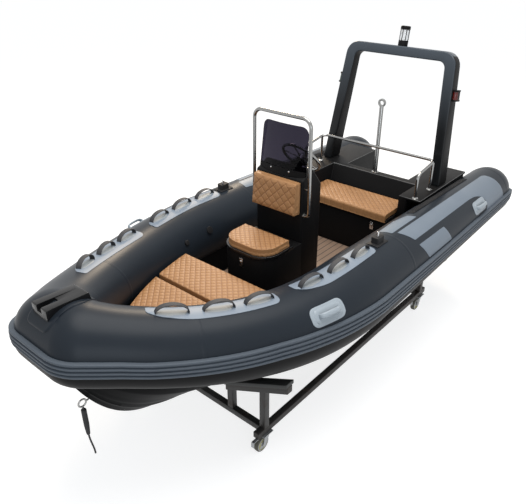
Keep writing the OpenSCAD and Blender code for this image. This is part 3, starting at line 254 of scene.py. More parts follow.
def finish(tree, shade, colour, value, roughLow, roughHigh):
    feed(tree, shade.inputs["Base Color"], colour)
    feed(tree, shade.inputs["Roughness"], spread(tree, value, 0.0, 1.0, roughLow, roughHigh))


def grainedMat(name, dark, light, roughLow, roughHigh, scale=260.0, strength=0.12, distance=0.0006, dust=0.0,
               roughBy="Tone", **sockets):
    # moulded or painted finish: slow tone, fine grain, a little dust
    mat, tree, shade = newMat(name, **sockets)
    g = use(tree, grain, Scale=scale)
    colour = blendColour(tree, g["Tone"], dark, light)
    if dust:
        colour = blendColour(tree, use(tree, settled, Amount=dust)["Mask"], colour, (0.33, 0.32, 0.30))
    finish(tree, shade, colour, g[roughBy], roughLow, roughHigh)
    bump(tree, shade, g["Height"], strength, distance)
    return mat


def clearLook(name, dark, light, roughLow, roughHigh, scale, **sockets):
    mat, tree, shade = newMat(name, **sockets)
    g = use(tree, grain, Scale=scale)
    finish(tree, shade, blendColour(tree, g["Tone"], dark, light), g["Tone"], roughLow, roughHigh)
    return mat


def clothMat(name, dark, light, roughLow, roughHigh, threads, strength, distance, **sockets):
    mat = clearLook(name, dark, light, roughLow, roughHigh, 60.0, **sockets)
    tree = mat.node_tree
    bump(tree, tree.nodes["Principled BSDF"], use(tree, weave, Threads=threads)["Height"], strength, distance)
    return mat


tubeMat = clothMat("collarFabric", (0.0126, 0.0168, 0.0230), (0.0163, 0.0213, 0.0282), 0.33, 0.40, 2600.0,
                   0.05, 0.0004, **{"Specular IOR Level": 0.155})
strakeMat = grainedMat("strakeRubber", (0.068, 0.082, 0.100), (0.088, 0.104, 0.124), 0.42, 0.52, 300.0, 0.10,
                       **{"Specular IOR Level": 0.2})
padMat = clothMat("padFabric", (0.170, 0.205, 0.250), (0.207, 0.247, 0.298), 0.44, 0.52, 2600.0, 0.05, 0.0004)
patchMat = clothMat("patchFabric", (0.125, 0.155, 0.192), (0.158, 0.191, 0.230), 0.42, 0.50, 2600.0, 0.05, 0.0004)
ovalMat = clothMat("palePatch", (0.265, 0.288, 0.296), (0.310, 0.332, 0.340), 0.45, 0.52, 2600.0, 0.05, 0.0004)
handleMat = grainedMat("handleMoulding", (0.27, 0.31, 0.345), (0.32, 0.363, 0.398), 0.34, 0.42, 500.0, 0.06)
webMat = clothMat("webbing", (0.018, 0.018, 0.020), (0.030, 0.030, 0.033), 0.55, 0.68, 5200.0, 0.35, 0.0006)
gelMat = grainedMat("hullGelcoat", (0.0050, 0.0051, 0.0053), (0.0075, 0.0076, 0.0079), 0.32, 0.42, 24.0, 0.03,
                    0.0008, dust=0.004, **{"Specular IOR Level": 0.015})
mouldMat = grainedMat("blackMoulding", (0.0055, 0.0054, 0.0056), (0.0085, 0.0084, 0.0088), 0.40, 0.52, 320.0, 0.06,
                      0.0005, dust=0.006, **{"Specular IOR Level": 0.08})
rubberMat = grainedMat("blackRubber", (0.009, 0.009, 0.010), (0.015, 0.015, 0.016), 0.50, 0.64, 420.0, 0.16,
                       **{"Specular IOR Level": 0.2})
glossMat = grainedMat("glossMoulding", (0.006, 0.006, 0.0065), (0.009, 0.009, 0.0095), 0.16, 0.24, 300.0, 0.05, 0.0005,
                      **{"Specular IOR Level": 0.42})
bunkMat = grainedMat("bunkRubber", (0.018, 0.019, 0.0185), (0.032, 0.033, 0.032), 0.55, 0.70, 360.0, 0.2)
# painted highlight: lighter grey for the bevelled upper edges, standing in for the light they catch
edgeHighlightMat = grainedMat("paintedEdgeHighlight", (0.050, 0.050, 0.050), (0.075, 0.075, 0.075), 0.20, 0.30, 300.0, 0.03, 0.0005)
pinMat = grainedMat("pinSteel", (0.55, 0.55, 0.56), (0.66, 0.66, 0.67), 0.18, 0.30, 700.0, 0.03, Metallic=1.0)


def makeArchLightShadeMat():
    # arch: slate above, fading to black at the feet: painted shade, darker towards the feet
    mat, tree, shade = newMat("archSlateLightShade", **{"Specular IOR Level": 0.25})
    g = use(tree, grain, Scale=60.0)
    slate = blendColour(tree, g["Tone"], (0.048, 0.060, 0.074), (0.060, 0.073, 0.089))
    height = put(tree, "SeparateXYZ", {0: objectPlace(tree)}).outputs["Z"]
    # painted shade: black low on the arch, slate higher up
    colour = blendColour(tree, spread(tree, height, 1.70, 2.42), (0.007, 0.008, 0.009), slate)
    finish(tree, shade, colour, g["Tone"], 0.26, 0.34)
    bump(tree, shade, g["Height"], 0.03, 0.0006)
    return mat


def makeLeatherMat():
    mat, tree, shade = newMat("tanLeather", **{"Specular IOR Level": 0.3})
    p = use(tree, pebble, Scale=520.0)
    tan = blendColour(tree, p["Tone"], (0.320, 0.160, 0.067), (0.385, 0.201, 0.089))
    stitch = put(tree, "Attribute", attribute_name="stitch").outputs["Fac"]
    finish(tree, shade, blendColour(tree, stitch, tan, (0.205, 0.093, 0.037)), p["Tone"], 0.40, 0.52)
    bump(tree, shade, p["Height"], 0.16, 0.0006)
    return mat


teak = {"plank": 0.058, "seamFrom": 0.44, "stretch": (3.0, 90.0, 20.0)}


def makeTeakMat(t):
    # planks along the boat with dark caulked seams
    mat, tree, shade = newMat("teakDecking")
    place = objectPlace(tree)
    plank = maths(tree, "MULTIPLY", put(tree, "SeparateXYZ", {0: place}).outputs["Y"], 1 / t["plank"])
    part = maths(tree, "FRACT", maths(tree, "ADD", plank, 100.5))
    seam = maths(tree, "GREATER_THAN", maths(tree, "ABSOLUTE", maths(tree, "SUBTRACT", part, 0.5)), t["seamFrom"])
    fibre = noise(tree, put(tree, "Mapping", {"Vector": place, "Scale": t["stretch"]}).outputs[0], 1.6, 7.0)
    wood = blendColour(tree, fibre, (0.19, 0.125, 0.085), (0.34, 0.235, 0.170))
    finish(tree, shade, blendColour(tree, seam, wood, (0.015, 0.014, 0.013)), fibre, 0.52, 0.68)
    bump(tree, shade, maths(tree, "SUBTRACT", fibre, seam), 0.25, 0.001)
    return mat


def makeCradleMat():
    # mill-scale steel, rust at edges and in blotches
    mat, tree, shade = newMat("cradleSteel", Metallic=0.35)
    r = use(tree, rub, Scale=7.0, Edge=0.53)
    g = use(tree, grain, Scale=180.0)
    bare = blendColour(tree, g["Tone"], (0.019, 0.0185, 0.018), (0.034, 0.033, 0.032))
    rust = blendColour(tree, g["Height"], (0.026, 0.016, 0.011), (0.058, 0.032, 0.019))
    mask = maths(tree, "MAXIMUM", maths(tree, "MULTIPLY", r["Blotch"], 0.65), r["Edge"])
    finish(tree, shade, blendColour(tree, mask, bare, rust), mask, 0.50, 0.82)
    bump(tree, shade, maths(tree, "ADD", g["Height"], mask), 0.22, 0.0012)
    return mat


archLightShadeMat, leatherMat, teakMat, cradleMat = makeArchLightShadeMat(), makeLeatherMat(), makeTeakMat(teak), makeCradleMat()
steelMat = grainedMat("polishedStainless", (0.27, 0.27, 0.265), (0.36, 0.36, 0.352), 0.10, 0.24, 900.0, 0.02, 0.0002,
                      roughBy="Height", Metallic=1.0)
glassMat = clearLook("smokedScreen", (0.020, 0.018, 0.030), (0.027, 0.024, 0.040), 0.02, 0.05, 40.0,
                     **{"Transmission Weight": 1.0, "IOR": 1.18})
redMat, greenMat, clearMat = (
    clearLook(name, colour, tuple(min(1, c * 1.2) for c in colour), 0.08, 0.16, 120.0,
              **{"Transmission Weight": 0.55, "IOR": 1.5})
    for name, colour in (("redLens", (0.16, 0.010, 0.008)), ("greenLens", (0.008, 0.085, 0.025)),
                         ("clearLens", (0.75, 0.77, 0.78))))
zincMat = grainedMat("zincPlate", (0.30, 0.31, 0.32), (0.42, 0.43, 0.44), 0.34, 0.50, 240.0, 0.10, Metallic=0.85)
tyreMat = grainedMat("castorTread", (0.060, 0.058, 0.045), (0.095, 0.090, 0.068), 0.58, 0.74, 300.0, 0.16)
ringMat = grainedMat("castorRing", (0.33, 0.30, 0.13), (0.43, 0.39, 0.19), 0.48, 0.60, 200.0, 0.10)
ropeMat = clothMat("blackRope", (0.008, 0.008, 0.009), (0.016, 0.016, 0.017), 0.62, 0.76, 2200.0, 0.4, 0.0008)
print("materials made")


# mesh helpers
def meshObject(name, verts, faces):
    mesh = bpy.data.meshes.new(name)
    mesh.from_pydata([tuple(v) for v in verts], [], [tuple(f) for f in faces])
    mesh.validate()
    return linked(name, mesh)


def opened(mesh):
    bm = bmesh.new()
    bm.from_mesh(mesh)
    return bm


def closed(bm, mesh):
    bm.to_mesh(mesh)
    bm.free()


def meshFrom(name, bm):
    mesh = bpy.data.meshes.new(name)
    closed(bm, mesh)
    return linked(name, mesh)


def bakeModifiers(obj):
    dg = bpy.context.evaluated_depsgraph_get()
    mesh = bpy.data.meshes.new_from_object(obj.evaluated_get(dg))
    obj.modifiers.clear()
    obj.data = mesh


def tidyNormals(obj, angle=35.0):
    bm = opened(obj.data)
    bmesh.ops.recalc_face_normals(bm, faces=bm.faces)
    for f in bm.faces:
        f.smooth = True
    for e in bm.edges:
        e.smooth = len(e.link_faces) == 2 and e.calc_face_angle(0) < math.radians(angle)
    closed(bm, obj.data)


def dress(obj, mat, body="boat", stands=()):
    if mat is not None:
        obj.data.materials.clear()
        obj.data.materials.append(mat)
    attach(obj, body)
    if stands:
        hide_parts(*stands)
    return obj


def gridFaces(rows, cols, aroundRows=False, aroundCols=False):
    faces = []
    for i in range(rows if aroundRows else rows - 1):
        for j in range(cols if aroundCols else cols - 1):
            k, m = (i + 1) % rows, (j + 1) % cols
            faces.append((i * cols + j, i * cols + m, k * cols + m, k * cols + j))
    return faces


def sweptObject(name, rings, capped=True):
    # closed loft through rings of equal count
    rows, cols = len(rings), len(rings[0])
    verts = [p for ring in rings for p in ring]
    faces = gridFaces(rows, cols, aroundCols=True)
    if capped:
        faces.append(tuple(range(cols - 1, -1, -1)))
        faces.append(tuple((rows - 1) * cols + j for j in range(cols)))
    obj = meshObject(name, verts, faces)
    tidyNormals(obj)
    return obj


def filletPath(points, radii, steps=10):
    pts = [np.array(p, float) for p in points]
    out = [pts[0]]
    for i in range(1, len(pts) - 1):
        p, a, b, r = pts[i], pts[i - 1], pts[i + 1], radii[i - 1]
        ua, ub = (a - p) / np.linalg.norm(a - p), (b - p) / np.linalg.norm(b - p)
        half = math.acos(max(-1, min(1, float(ua @ ub)))) / 2
        if r == 0 or half > 1.55:
            out.append(p)
            continue
        mid = (ua + ub) / np.linalg.norm(ua + ub)
        centre = p + mid * r / math.sin(half)
        start = p + ua * r / math.tan(half) - centre
        for k in range(steps + 1):
            g = (math.pi - 2 * half) * k / steps
            out.append(centre + start * math.cos(g) - ua * r * math.sin(g))
    out.append(pts[-1])
    return out


def pathRings(path, radius, sides=28):
    pts = [np.array(p, float) for p in path]
    tangents = []
    for i in range(len(pts)):
        t = pts[min(i + 1, len(pts) - 1)] - pts[max(i - 1, 0)]
        tangents.append(t / np.linalg.norm(t))
    ref = np.array([0.0, 0.0, 1.0]) if abs(tangents[0][2]) < 0.9 else np.array([1.0, 0.0, 0.0])
    side = np.cross(tangents[0], ref)
    side /= np.linalg.norm(side)
    rings = []
    for i, (p, t) in enumerate(zip(pts, tangents)):
        side = side - t * (side @ t)
        side /= np.linalg.norm(side)
        up = np.cross(side, t)
        r = radius(i) if callable(radius) else radius
        rings.append([p + r * (math.cos(a) * side + math.sin(a) * up)
                      for a in (2 * math.pi * k / sides for k in range(sides))])
    return rings


def tubeObject(name, path, radius, sides=28):
    return sweptObject(name, pathRings(path, radius, sides))


def revolved(name, profile, centre, axis=(0, 0, 1), steps=64):
    # closed profile of (radius, height) turned about an axis
    turn = Vector((0, 0, 1)).rotation_difference(Vector(axis)).to_matrix()
    verts = []
    for k in range(steps):
        a = 2 * math.pi * k / steps
        for r, h in profile:
            verts.append(Vector(centre) + turn @ Vector((r * math.cos(a), r * math.sin(a), h)))
    closes = profile[0] != profile[-1]
    obj = meshObject(name, verts, gridFaces(steps, len(profile), aroundRows=True, aroundCols=closes))
    bm = opened(obj.data)
    bmesh.ops.remove_doubles(bm, verts=bm.verts, dist=1e-6)
    closed(bm, obj.data)
    tidyNormals(obj)
    return obj


def joined(name, objs):
    bm = bmesh.new()
    for o in objs:
        start = len(bm.verts)
        bm.from_mesh(o.data)
        bm.verts.ensure_lookup_table()
        for v in bm.verts[start:]:
            v.co = o.matrix_world @ v.co
    for o in objs:
        bpy.data.objects.remove(o)
    return meshFrom(name, bm)


def easedNode(node, name, mat, bevel=0.004, segments=3, angle=28.0):
    # copy of a solid with its edges broken, so that they catch the light
    bm = opened(cad[node].data)
    bmesh.ops.remove_doubles(bm, verts=bm.verts, dist=1e-5)
    bmesh.ops.dissolve_limit(bm, angle_limit=math.radians(1.5), verts=bm.verts, edges=bm.edges)
    obj = meshFrom(name, bm)
    mod = obj.modifiers.new("ease", "BEVEL")
    mod.width = bevel
    mod.segments = segments
    mod.limit_method = "ANGLE"
    mod.angle_limit = math.radians(angle)
    mod.use_clamp_overlap = True
    bakeModifiers(obj)
    tidyNormals(obj, 40.0)
    return dress(obj, mat, bodyOfNode[node], [node])


# the bow line, hung from the bow eye
bowLine = {"radius": 0.006, "strands": 5, "sides": 20, "rows": [
    (0, 0, 0), (0, 0, .035), (0, 0, .075), (0, 0, .115), (0, 0, .155), (0, 0, .195), (0, 0, .230), (-.001, .001, .255),
    (-.003, .003, .280), (-.006, .005, .305), (-.010, .006, .330), (-.014, .006, .355), (-.017, .005, .375),
    (-.019, .004, .395), (-.020, .003, .413)], "wrapTop": 0.0175, "wrapLow": 0.230, "wrapR": 0.017, "wrapIn": 0.0063,
    "turns": 34, "wrapSteps": 170, "eyeBack": 0.032, "clear": 0.0003, "twist": 0.16, "strandDepth": 0.045}


def addBowLine(b):
    eyeLow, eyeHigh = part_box("bow_eye")
    top = np.array([eyeHigh[0] - b["eyeBack"], 0.0, eyeLow[2] - b["clear"]])
    route = [top + np.array([x, y, -z]) for x, y, z in b["rows"]]
    fine = []
    for i in range(len(route) - 1):
        for k in range(8):
            fine.append(route[i] + (route[i + 1] - route[i]) * k / 8)
    fine.append(route[-1])
    rings = pathRings(fine, b["radius"], b["sides"])
    for i, ring in enumerate(rings):
        for k in range(b["sides"]):
            twist = math.cos(b["strands"] * (2 * math.pi * k / b["sides"] + i * b["twist"]))
            ring[k] = fine[i] + (ring[k] - fine[i]) * (1 - b["strandDepth"] + b["strandDepth"] * twist)
    line = sweptObject("bowLine", rings)
    dress(line, ropeMat, "boat", ["bow_rope"])
    # tight turns of cord over the upper part
    profile, core = [], b["wrapIn"]
    low, high = top[2] - b["wrapLow"] + b["clear"], top[2] - b["wrapTop"] + b["clear"]
    for k in range(b["wrapSteps"] + 1):
        f = k / b["wrapSteps"]
        belly = b["wrapR"] * (0.62 + 0.38 * min(1, f / 0.4) ** 0.7)
        end = min(1, f / 0.02, (1 - f) / 0.02)
        wave = abs(math.sin(math.pi * b["turns"] * f))
        r = core + (belly - core) * (0.35 + 0.65 * end) * (0.90 + 0.10 * wave)
        profile.append((r, low + (high - low) * f))
    profile = [(core, low)] + profile + [(core, high)]
    wrap = revolved("lineWrapping", profile, (top[0], 0, 0), steps=40)
    dress(wrap, ropeMat, "boat", ["rope_whipping"])


addBowLine(bowLine)
print("bow line hung")

# collar: the same plan and section as the solids, in fine steps
collar = {"bowX": 2.09162, "sternX": -2.075, "halfSpacing": 0.775, "axisHeight": 0.985, "bowRise": 0.245,
          "riseRun": 1.392, "rBow": 0.228, "rSide": 0.270, "rStern": 0.222, "cone": 0.270, "halfFlat": 0.130,
          "panel": 0.201, "heading": 37.0, "mitreOuter": 0.200, "mitreInner": 0.020, "coneTurn": 82.0,
          "sides": 108}
mitreTurn = 90 - collar["heading"]
tMitre, tPanel, tFlare, tSide, tCone, tEnd = 1, 13, 19, 31, 36, 41


def heading(a):
    return np.array([math.cos(math.radians(a)), math.sin(math.radians(a))])


mitreAt = np.array([collar["bowX"], collar["halfFlat"]])
panelEnd = mitreAt + collar["panel"] * np.array([-heading(collar["heading"])[0], heading(collar["heading"])[1]])
flareR = (collar["halfSpacing"] - collar["halfFlat"] - collar["panel"] * math.sin(math.radians(collar["heading"]))) / (
    1 - math.cos(math.radians(collar["heading"])))
flareCentre = panelEnd - flareR * heading(mitreTurn)
sideX = flareCentre[0]


def axisZ(x):
    c = collar
    start = c["bowX"] - c["riseRun"]
    return c["axisHeight"] + (c["bowRise"] * ((x - start) / c["riseRun"]) ** 2 if x > start else 0)


def ringAt(o, i, r):
    return o, i, axisZ((o[0] + i[0]) / 2), r


def mitreRing(a):
    c, half = collar, mitreTurn / 2
    cut = math.cos(math.radians(half))
    out = mitreAt + (c["rBow"] - c["mitreOuter"]) / cut * heading(half)
    ins = mitreAt - (c["rBow"] + c["mitreInner"]) / cut * heading(half)
    return ringAt(out + c["mitreOuter"] * heading(a), ins + c["mitreInner"] * heading(a), c["rBow"])


def stationAt(t):
    c = collar
    if t <= tMitre:
        o, i = np.array([c["bowX"] + c["rBow"], 0.0]), np.array([c["bowX"] - c["rBow"], 0.0])
        m = mitreRing(0)
        return ringAt(o + (m[0] - o) * t, i + (m[1] - i) * t, c["rBow"])
    if t <= tPanel:
        return mitreRing((t - tMitre) / (tPanel - tMitre) * mitreTurn)
    if t <= tFlare:
        f = (t - tPanel) / (tFlare - tPanel)
        a, across = mitreRing(mitreTurn), c["rBow"] * heading(mitreTurn)
        return ringAt(a[0] + (panelEnd + across - a[0]) * f, a[1] + (panelEnd - across - a[1]) * f, c["rBow"])
    if t <= tSide:
        f = (t - tFlare) / (tSide - tFlare)
        a, r = mitreTurn + (90 - mitreTurn) * f, c["rBow"] + (c["rSide"] - c["rBow"]) * f * f * (3 - 2 * f)
        return ringAt(flareCentre + (flareR + r) * heading(a), flareCentre + (flareR - r) * heading(a), r)
    if t <= tCone:
        f = (t - tSide) / (tCone - tSide)
        x, r = sideX + (c["sternX"] - sideX) * f, c["rSide"] + (c["rStern"] - c["rSide"]) * f
    else:
        a = math.radians((t - tCone) / (tEnd - tCone) * c["coneTurn"])
        x = c["sternX"] - c["cone"] * math.sin(a) / math.sin(math.radians(c["coneTurn"]))
        r = c["rStern"] * math.cos(a)
    return ringAt(np.array([x, c["halfSpacing"] + r]), np.array([x, c["halfSpacing"] - r]), r)


def skin(t, deg, off=0.0):
    # point on the tube: degrees count up from the outer side, minus t is starboard
    o, i, z, r = stationAt(abs(t))
    mid, half = (o + i) / 2, (o - i) / 2
    a = math.radians(deg)
    p = mid + half * (1 + off / np.linalg.norm(half)) * math.cos(a)
    return np.array([p[0], -p[1] if t < 0 else p[1], z + (r + off) * math.sin(a)])


def tAt(x):
    c = collar
    if x > sideX:
        a = math.degrees(math.acos(min(1, (x - flareCentre[0]) / flareR)))
        return tFlare + (tSide - tFlare) * (a - mitreTurn) / c["heading"]
    if x >= c["sternX"]:
        return tSide + (tCone - tSide) * (sideX - x) / (sideX - c["sternX"])
    s = (c["sternX"] - x) / c["cone"] * math.sin(math.radians(c["coneTurn"]))
    return tCone + (tEnd - tCone) * math.degrees(math.asin(min(1, s))) / c["coneTurn"]


def tSteps(a, b):
    # fine steps: more of them where the tube turns
    out, t = [], a
    while t < b - 1e-6:
        out.append(t)
        t += 1 / 4 if t < tPanel else 1 / 3 if t < tFlare else 1 / 8 if t < tSide else 1 / 22 if t < tCone else 1 / 7
    return out + [b]


chamberT = tFlare + 3
# glued tapes: place and half width of each, then height over places across it
seamTape = {"rows": ((chamberT, 0.016), (tAt(-0.12), 0.014), (tCone, 0.014)), "sides": 96, "probe": 0.05,
            "across": (-1, -0.9, -0.3, 0.3, 0.9, 1), "lifts": (0.0001, 0.0005, 0.0006, 0.0006, 0.0005, 0.0001)}


def addCollar():
    c = collar
    around = [360 * k / c["sides"] for k in range(c["sides"])]
    ahead = tSteps(0, chamberT)
    both = [-t for t in reversed(ahead[1:])] + ahead
    bow = sweptObject("collarBow", [[skin(t, d) for d in around] for t in both])
    dress(bow, tubeMat, "boat", ["collar_bow"])
    side = tSteps(chamberT, tEnd)
    tape, near = seamTape, seamTape["probe"]
    degs = [360 * k / tape["sides"] for k in range(tape["sides"])]
    for sign, word in bothSides:
        rings = [[skin(sign * t, d) for d in around] for t in side]
        dress(sweptObject("collar" + word, rings), tubeMat, "boat", ["collar_" + word.lower()])
        tapes = []
        for middle, half in tape["rows"]:
            span = half / np.linalg.norm(stationAt(middle + near)[0] - stationAt(middle - near)[0]) * 2 * near
            ts = [middle + span * f for f in tape["across"]]
            verts = [skin(sign * t, d, h) for t, h in zip(ts, tape["lifts"]) for d in degs]
            tapes.append(meshObject("tape", verts, gridFaces(len(ts), len(degs), aroundCols=True)))
            tidyNormals(tapes[-1])
        dress(joined("seamTape" + word, tapes), tubeMat)


addCollar()
print("collar made")


def roundedOutline(points, radius, steps=6):
    # closed outline in metres with rounded corners
    n, out = len(points), []
    for k in range(n):
        p, a, b = (np.array(points[i % n], float) for i in (k, k - 1, k + 1))
        r = radius[k] if isinstance(radius, (list, tuple)) else radius
        ua, ub = a - p, b - p
        la, lb = np.linalg.norm(ua), np.linalg.norm(ub)
        cut = min(r, 0.45 * la, 0.45 * lb)
        if cut < 1e-5:
            out.append(p)
            continue
        s, e = p + ua / la * cut, p + ub / lb * cut
        for i in range(steps + 1):
            f = i / steps
            out.append((1 - f) ** 2 * s + 2 * f * (1 - f) * p + f * f * e)
    return out


def skinPatch(name, outline, thick, sign, cell=0.02):
    # sheet glued to the tube: outline in (x, arc length up from the outer side)
    pts = [Vector((float(p[0]), float(p[1]))) for p in outline]
    dense = []
    for k, p in enumerate(pts):
        q = pts[(k + 1) % len(pts)]
        n = max(1, int((q - p).length / cell))
        dense += [p.lerp(q, i / n) for i in range(n)]
    xs, ys = [p.x for p in dense], [p.y for p in dense]
    inner = []
    nx, ny = int((max(xs) - min(xs)) / cell), int((max(ys) - min(ys)) / cell)
    for i in range(1, nx):
        for j in range(1, ny):
            inner.append(Vector((min(xs) + (max(xs) - min(xs)) * i / nx, min(ys) + (max(ys) - min(ys)) * j / ny)))
    edges = [(k, (k + 1) % len(dense)) for k in range(len(dense))]
    verts2, _, faces2 = delaunay_2d_cdt(dense + inner, edges, [], 1, 1e-5)[:3]
    bm = bmesh.new()
    low = [bm.verts.new(onTube(v, 0.0002, sign)) for v in verts2]
    for f in faces2:
        bm.faces.new([low[i] for i in f])
    rim = [e for e in bm.edges if len(e.link_faces) == 1]
    rimVerts = {v for e in rim for v in e.verts}
    flat = {low[i]: verts2[i] for i in range(len(verts2))}
    top = bmesh.ops.duplicate(bm, geom=bm.faces[:] + bm.edges[:] + bm.verts[:])
    pairs = {a: b for a, b in top["vert_map"].items() if isinstance(a, bmesh.types.BMVert)}
    for a in low:
        pairs[a].co = onTube(flat[a], thick * (0.55 if a in rimVerts else 1.0), sign)
    for e in rim:
        a, b = e.verts
        bm.faces.new((a, b, pairs[b], pairs[a]))
    bmesh.ops.recalc_face_normals(bm, faces=bm.faces)
    obj = meshFrom(name, bm)
    tidyNormals(obj, 50.0)
    return obj


# radius on which the outlines count arc length
arcRadius = 0.25


def onTube(v, off, sign):
    return Vector(skin(sign * tAt(v[0]), math.degrees(v[1] / arcRadius), off))


def arc(deg):
    return math.radians(deg) * arcRadius


# top pads with webbing loops
topPads = {"spans": [(1.072, 1.806), (0.140, 0.933)], "low": 74.0, "high": 107.0, "thick": 0.005, "corner": 0.05,
           "loops": 3, "loopLength": 0.200, "loopHeight": 0.058, "loopWidth": 0.036, "loopThick": 0.007,
           "oval": (0.086, 0.038), "ovalLift": 0.0016, "ovalSides": 40, "ovalCell": 0.014}


def loopFrame(x, deg, off, sign):
    t = tAt(x)
    p = skin(sign * t, deg, off)
    along = skin(sign * (t - 0.05), deg, off) - skin(sign * (t + 0.05), deg, off)
    along /= np.linalg.norm(along)
    out = skin(sign * t, deg, off + 0.01) - p
    out /= np.linalg.norm(out)
    side = np.cross(out, along)
    side /= np.linalg.norm(side)
    return p, along, side, np.cross(along, side)


def webLoop(name, place, length, height, width, thick, steps=40, cols=10):
    # flat band bent into a bow, its ends lying on the pad
    p, along, side, out = place
    rings = []
    for k in range(steps + 1):
        a = math.pi * k / steps
        turn = np.array([math.cos(a), math.sin(a)])
        mid = np.array([(length / 2 - thick / 2) * turn[0], (height - thick / 2) * turn[1]])
        norm = np.array([turn[0] / length * 2, turn[1] / height])
        norm /= np.linalg.norm(norm)
        ring = []
        for face, order in ((1, range(cols)), (-1, range(cols - 1, -1, -1))):
            for j in order:
                w = j / (cols - 1) - 0.5
                edge = 1 - 0.5 * max(0, abs(w) * 2 - 0.85) / 0.15
                c = mid + face * norm * thick / 2 * edge
                ring.append(p + along * c[0] + out * (c[1] if face > 0 else max(0.0002, c[1])) + side * w * width)
        rings.append(ring)
    return sweptObject(name, rings)


def addPads(p):
    for sign, word in bothSides:
        pads, loops, ovals = [], [], []
        for low, high in p["spans"]:
            # the fore end tapers to the inner edge
            box = [(low, arc(p["low"] + 2)), (high - 0.20, arc(p["low"])), (high - 0.06, arc(p["low"] + 7)),
                   (high, arc(p["low"] + 17)), (high, arc(p["high"])), (low, arc(p["high"]))]
            line = roundedOutline(box, (p["corner"], 0.06, 0.05, 0.02, 0.02, p["corner"]))
            pads.append(skinPatch("pad", line, p["thick"], sign))
            for i in range(p["loops"]):
                x = low + (high - low) * (i + 0.5) / p["loops"]
                loops.append(webLoop("loop", loopFrame(x, 90, p["thick"], sign), p["loopLength"], p["loopHeight"],
                                     p["loopWidth"], p["loopThick"]))
                ring = [(x + p["oval"][0] * math.cos(a), arc(90) + p["oval"][1] * math.sin(a))
                        for a in (2 * math.pi * k / p["ovalSides"] for k in range(p["ovalSides"]))]
                ovals.append(skinPatch("oval", ring, p["thick"] + p["ovalLift"], sign, p["ovalCell"]))
        dress(joined("topPads" + word, pads), padMat)
        dress(joined("webLoops" + word, loops), webMat)
        dress(joined("padOvals" + word, ovals), ovalMat)
    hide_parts("handle_pads")
    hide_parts("grab_handles")


addPads(topPads)
print("pads and loops made")

# ribbed strake high on the tube side, with a black strip under it: painted shade for the shaded underside of the tube
strake = {"proud": 0.028, "end": tCone + 2, "stations": (0, 20, 25, 27, 30, 33, 41),
          "tops": (14, 14, 21, 20, 15, 10, 8), "wide": 23.0, "foot": -45.0, "gap": 0.2, "sink": 0.002,
          "ribs": [(0.02, 0.19), (0.28, 0.44), (0.54, 0.70), (0.80, 0.98)], "valley": 0.52, "edge": 0.035,
          "steps": 64, "backSteps": 12, "footSteps": 10}


def strakeHeight(s, w):
    best = s["valley"]
    for a, b in s["ribs"]:
        if a <= w <= b:
            f = abs((w - a) / (b - a) * 2 - 1)
            best = max(best, s["valley"] + (1 - s["valley"]) * (1 - f ** 4) ** 0.5)
    edge = min(1, w / s["edge"], (1 - w) / s["edge"])
    return s["proud"] * best * (0.12 + 0.88 * edge ** 0.5)


def addStrake(s):
    ahead = tSteps(0, s["end"])
    both = [-t for t in reversed(ahead[1:])] + ahead
    ribbed, shadeStrip = [], []
    shares = [k / s["steps"] for k in range(s["steps"] + 1)]
    backs = [k / s["backSteps"] for k in range(s["backSteps"], -1, -1)]
    feet = [k / s["footSteps"] for k in range(s["footSteps"] + 1)]
    rise = [0.30 + 0.60 * math.sin(math.pi * min(1, f + 0.12)) ** 0.4 for f in feet[:-1]] + [0.1]
    for t in both:
        taper = min(1, (s["end"] - abs(t)) / 0.5 + 0.05)
        top = float(np.interp(abs(t), s["stations"], s["tops"]))
        ring = [skin(t, top - s["wide"] * w, strakeHeight(s, w) * taper) for w in shares]
        ribbed.append(ring + [skin(t, top - s["wide"] * w, -s["sink"]) for w in backs])
        low = top - s["wide"] - s["gap"]
        ring = [skin(t, low + (s["foot"] - low) * f, s["proud"] * h * taper) for f, h in zip(feet, rise)]
        shadeStrip.append(ring + [skin(t, low + (s["foot"] - low) * f, -s["sink"]) for f in reversed(feet)])
    dress(sweptObject("rubStrake", ribbed), strakeMat, "boat", ["rub_strake"])
    # painted shade: black strip where the underside of the tube lies in shade
    dress(sweptObject("strakeFoot", shadeStrip), mouldMat)


addStrake(strake)
print("strake made")

# reinforcing patches on the aft part of each tube
patches = {"thick": 0.003, "upper": [(-0.160, 88), (-0.560, 89), (-0.545, 106), (-0.400, 117), (-0.150, 112)],
           "band": [(-0.200, 83), (-0.268, 54.5), (-1.30, 54.5), (-1.42, 52), (-1.51, 43), (-1.552, 28), (-1.552, 16),
                    (-1.52, 6), (-1.50, 1.5), (-1.955, 1.5), (-1.95, 30), (-1.915, 60), (-1.86, 84)],
           "lower": [(-0.275, 44), (-0.350, 14), (-0.765, 13), (-0.700, 43)], "cell": 0.022,
           "corners": {"upper": 0.010, "lower": 0.010, "band": [0.006, 0.006, 0.05, 0.06, 0.06, 0.05, 0.05, 0.04,
                                                                0.01, 0.01, 0.06, 0.06, 0.05]}}


def addPatches(p):
    for sign, word in bothSides:
        parts = []
        for key in ("upper", "band", "lower"):
            line = roundedOutline([(x, arc(d)) for x, d in p[key]], p["corners"][key])
            parts.append(skinPatch("patch", line, p["thick"], sign, p["cell"]))
        piece = dress(joined("tubePatches" + word, parts), patchMat)
        if sign > 0:
            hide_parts("wear_patches")


addPatches(patches)

# ribbed step strips on the inner shoulder
steps = {"span": (-0.62, -1.66), "low": 100.5, "high": 115.5, "ribs": 4, "thick": 0.009, "base": 0.0045,
         "rows": 60, "cols": 70, "edge": 0.03, "seat": 0.0002}


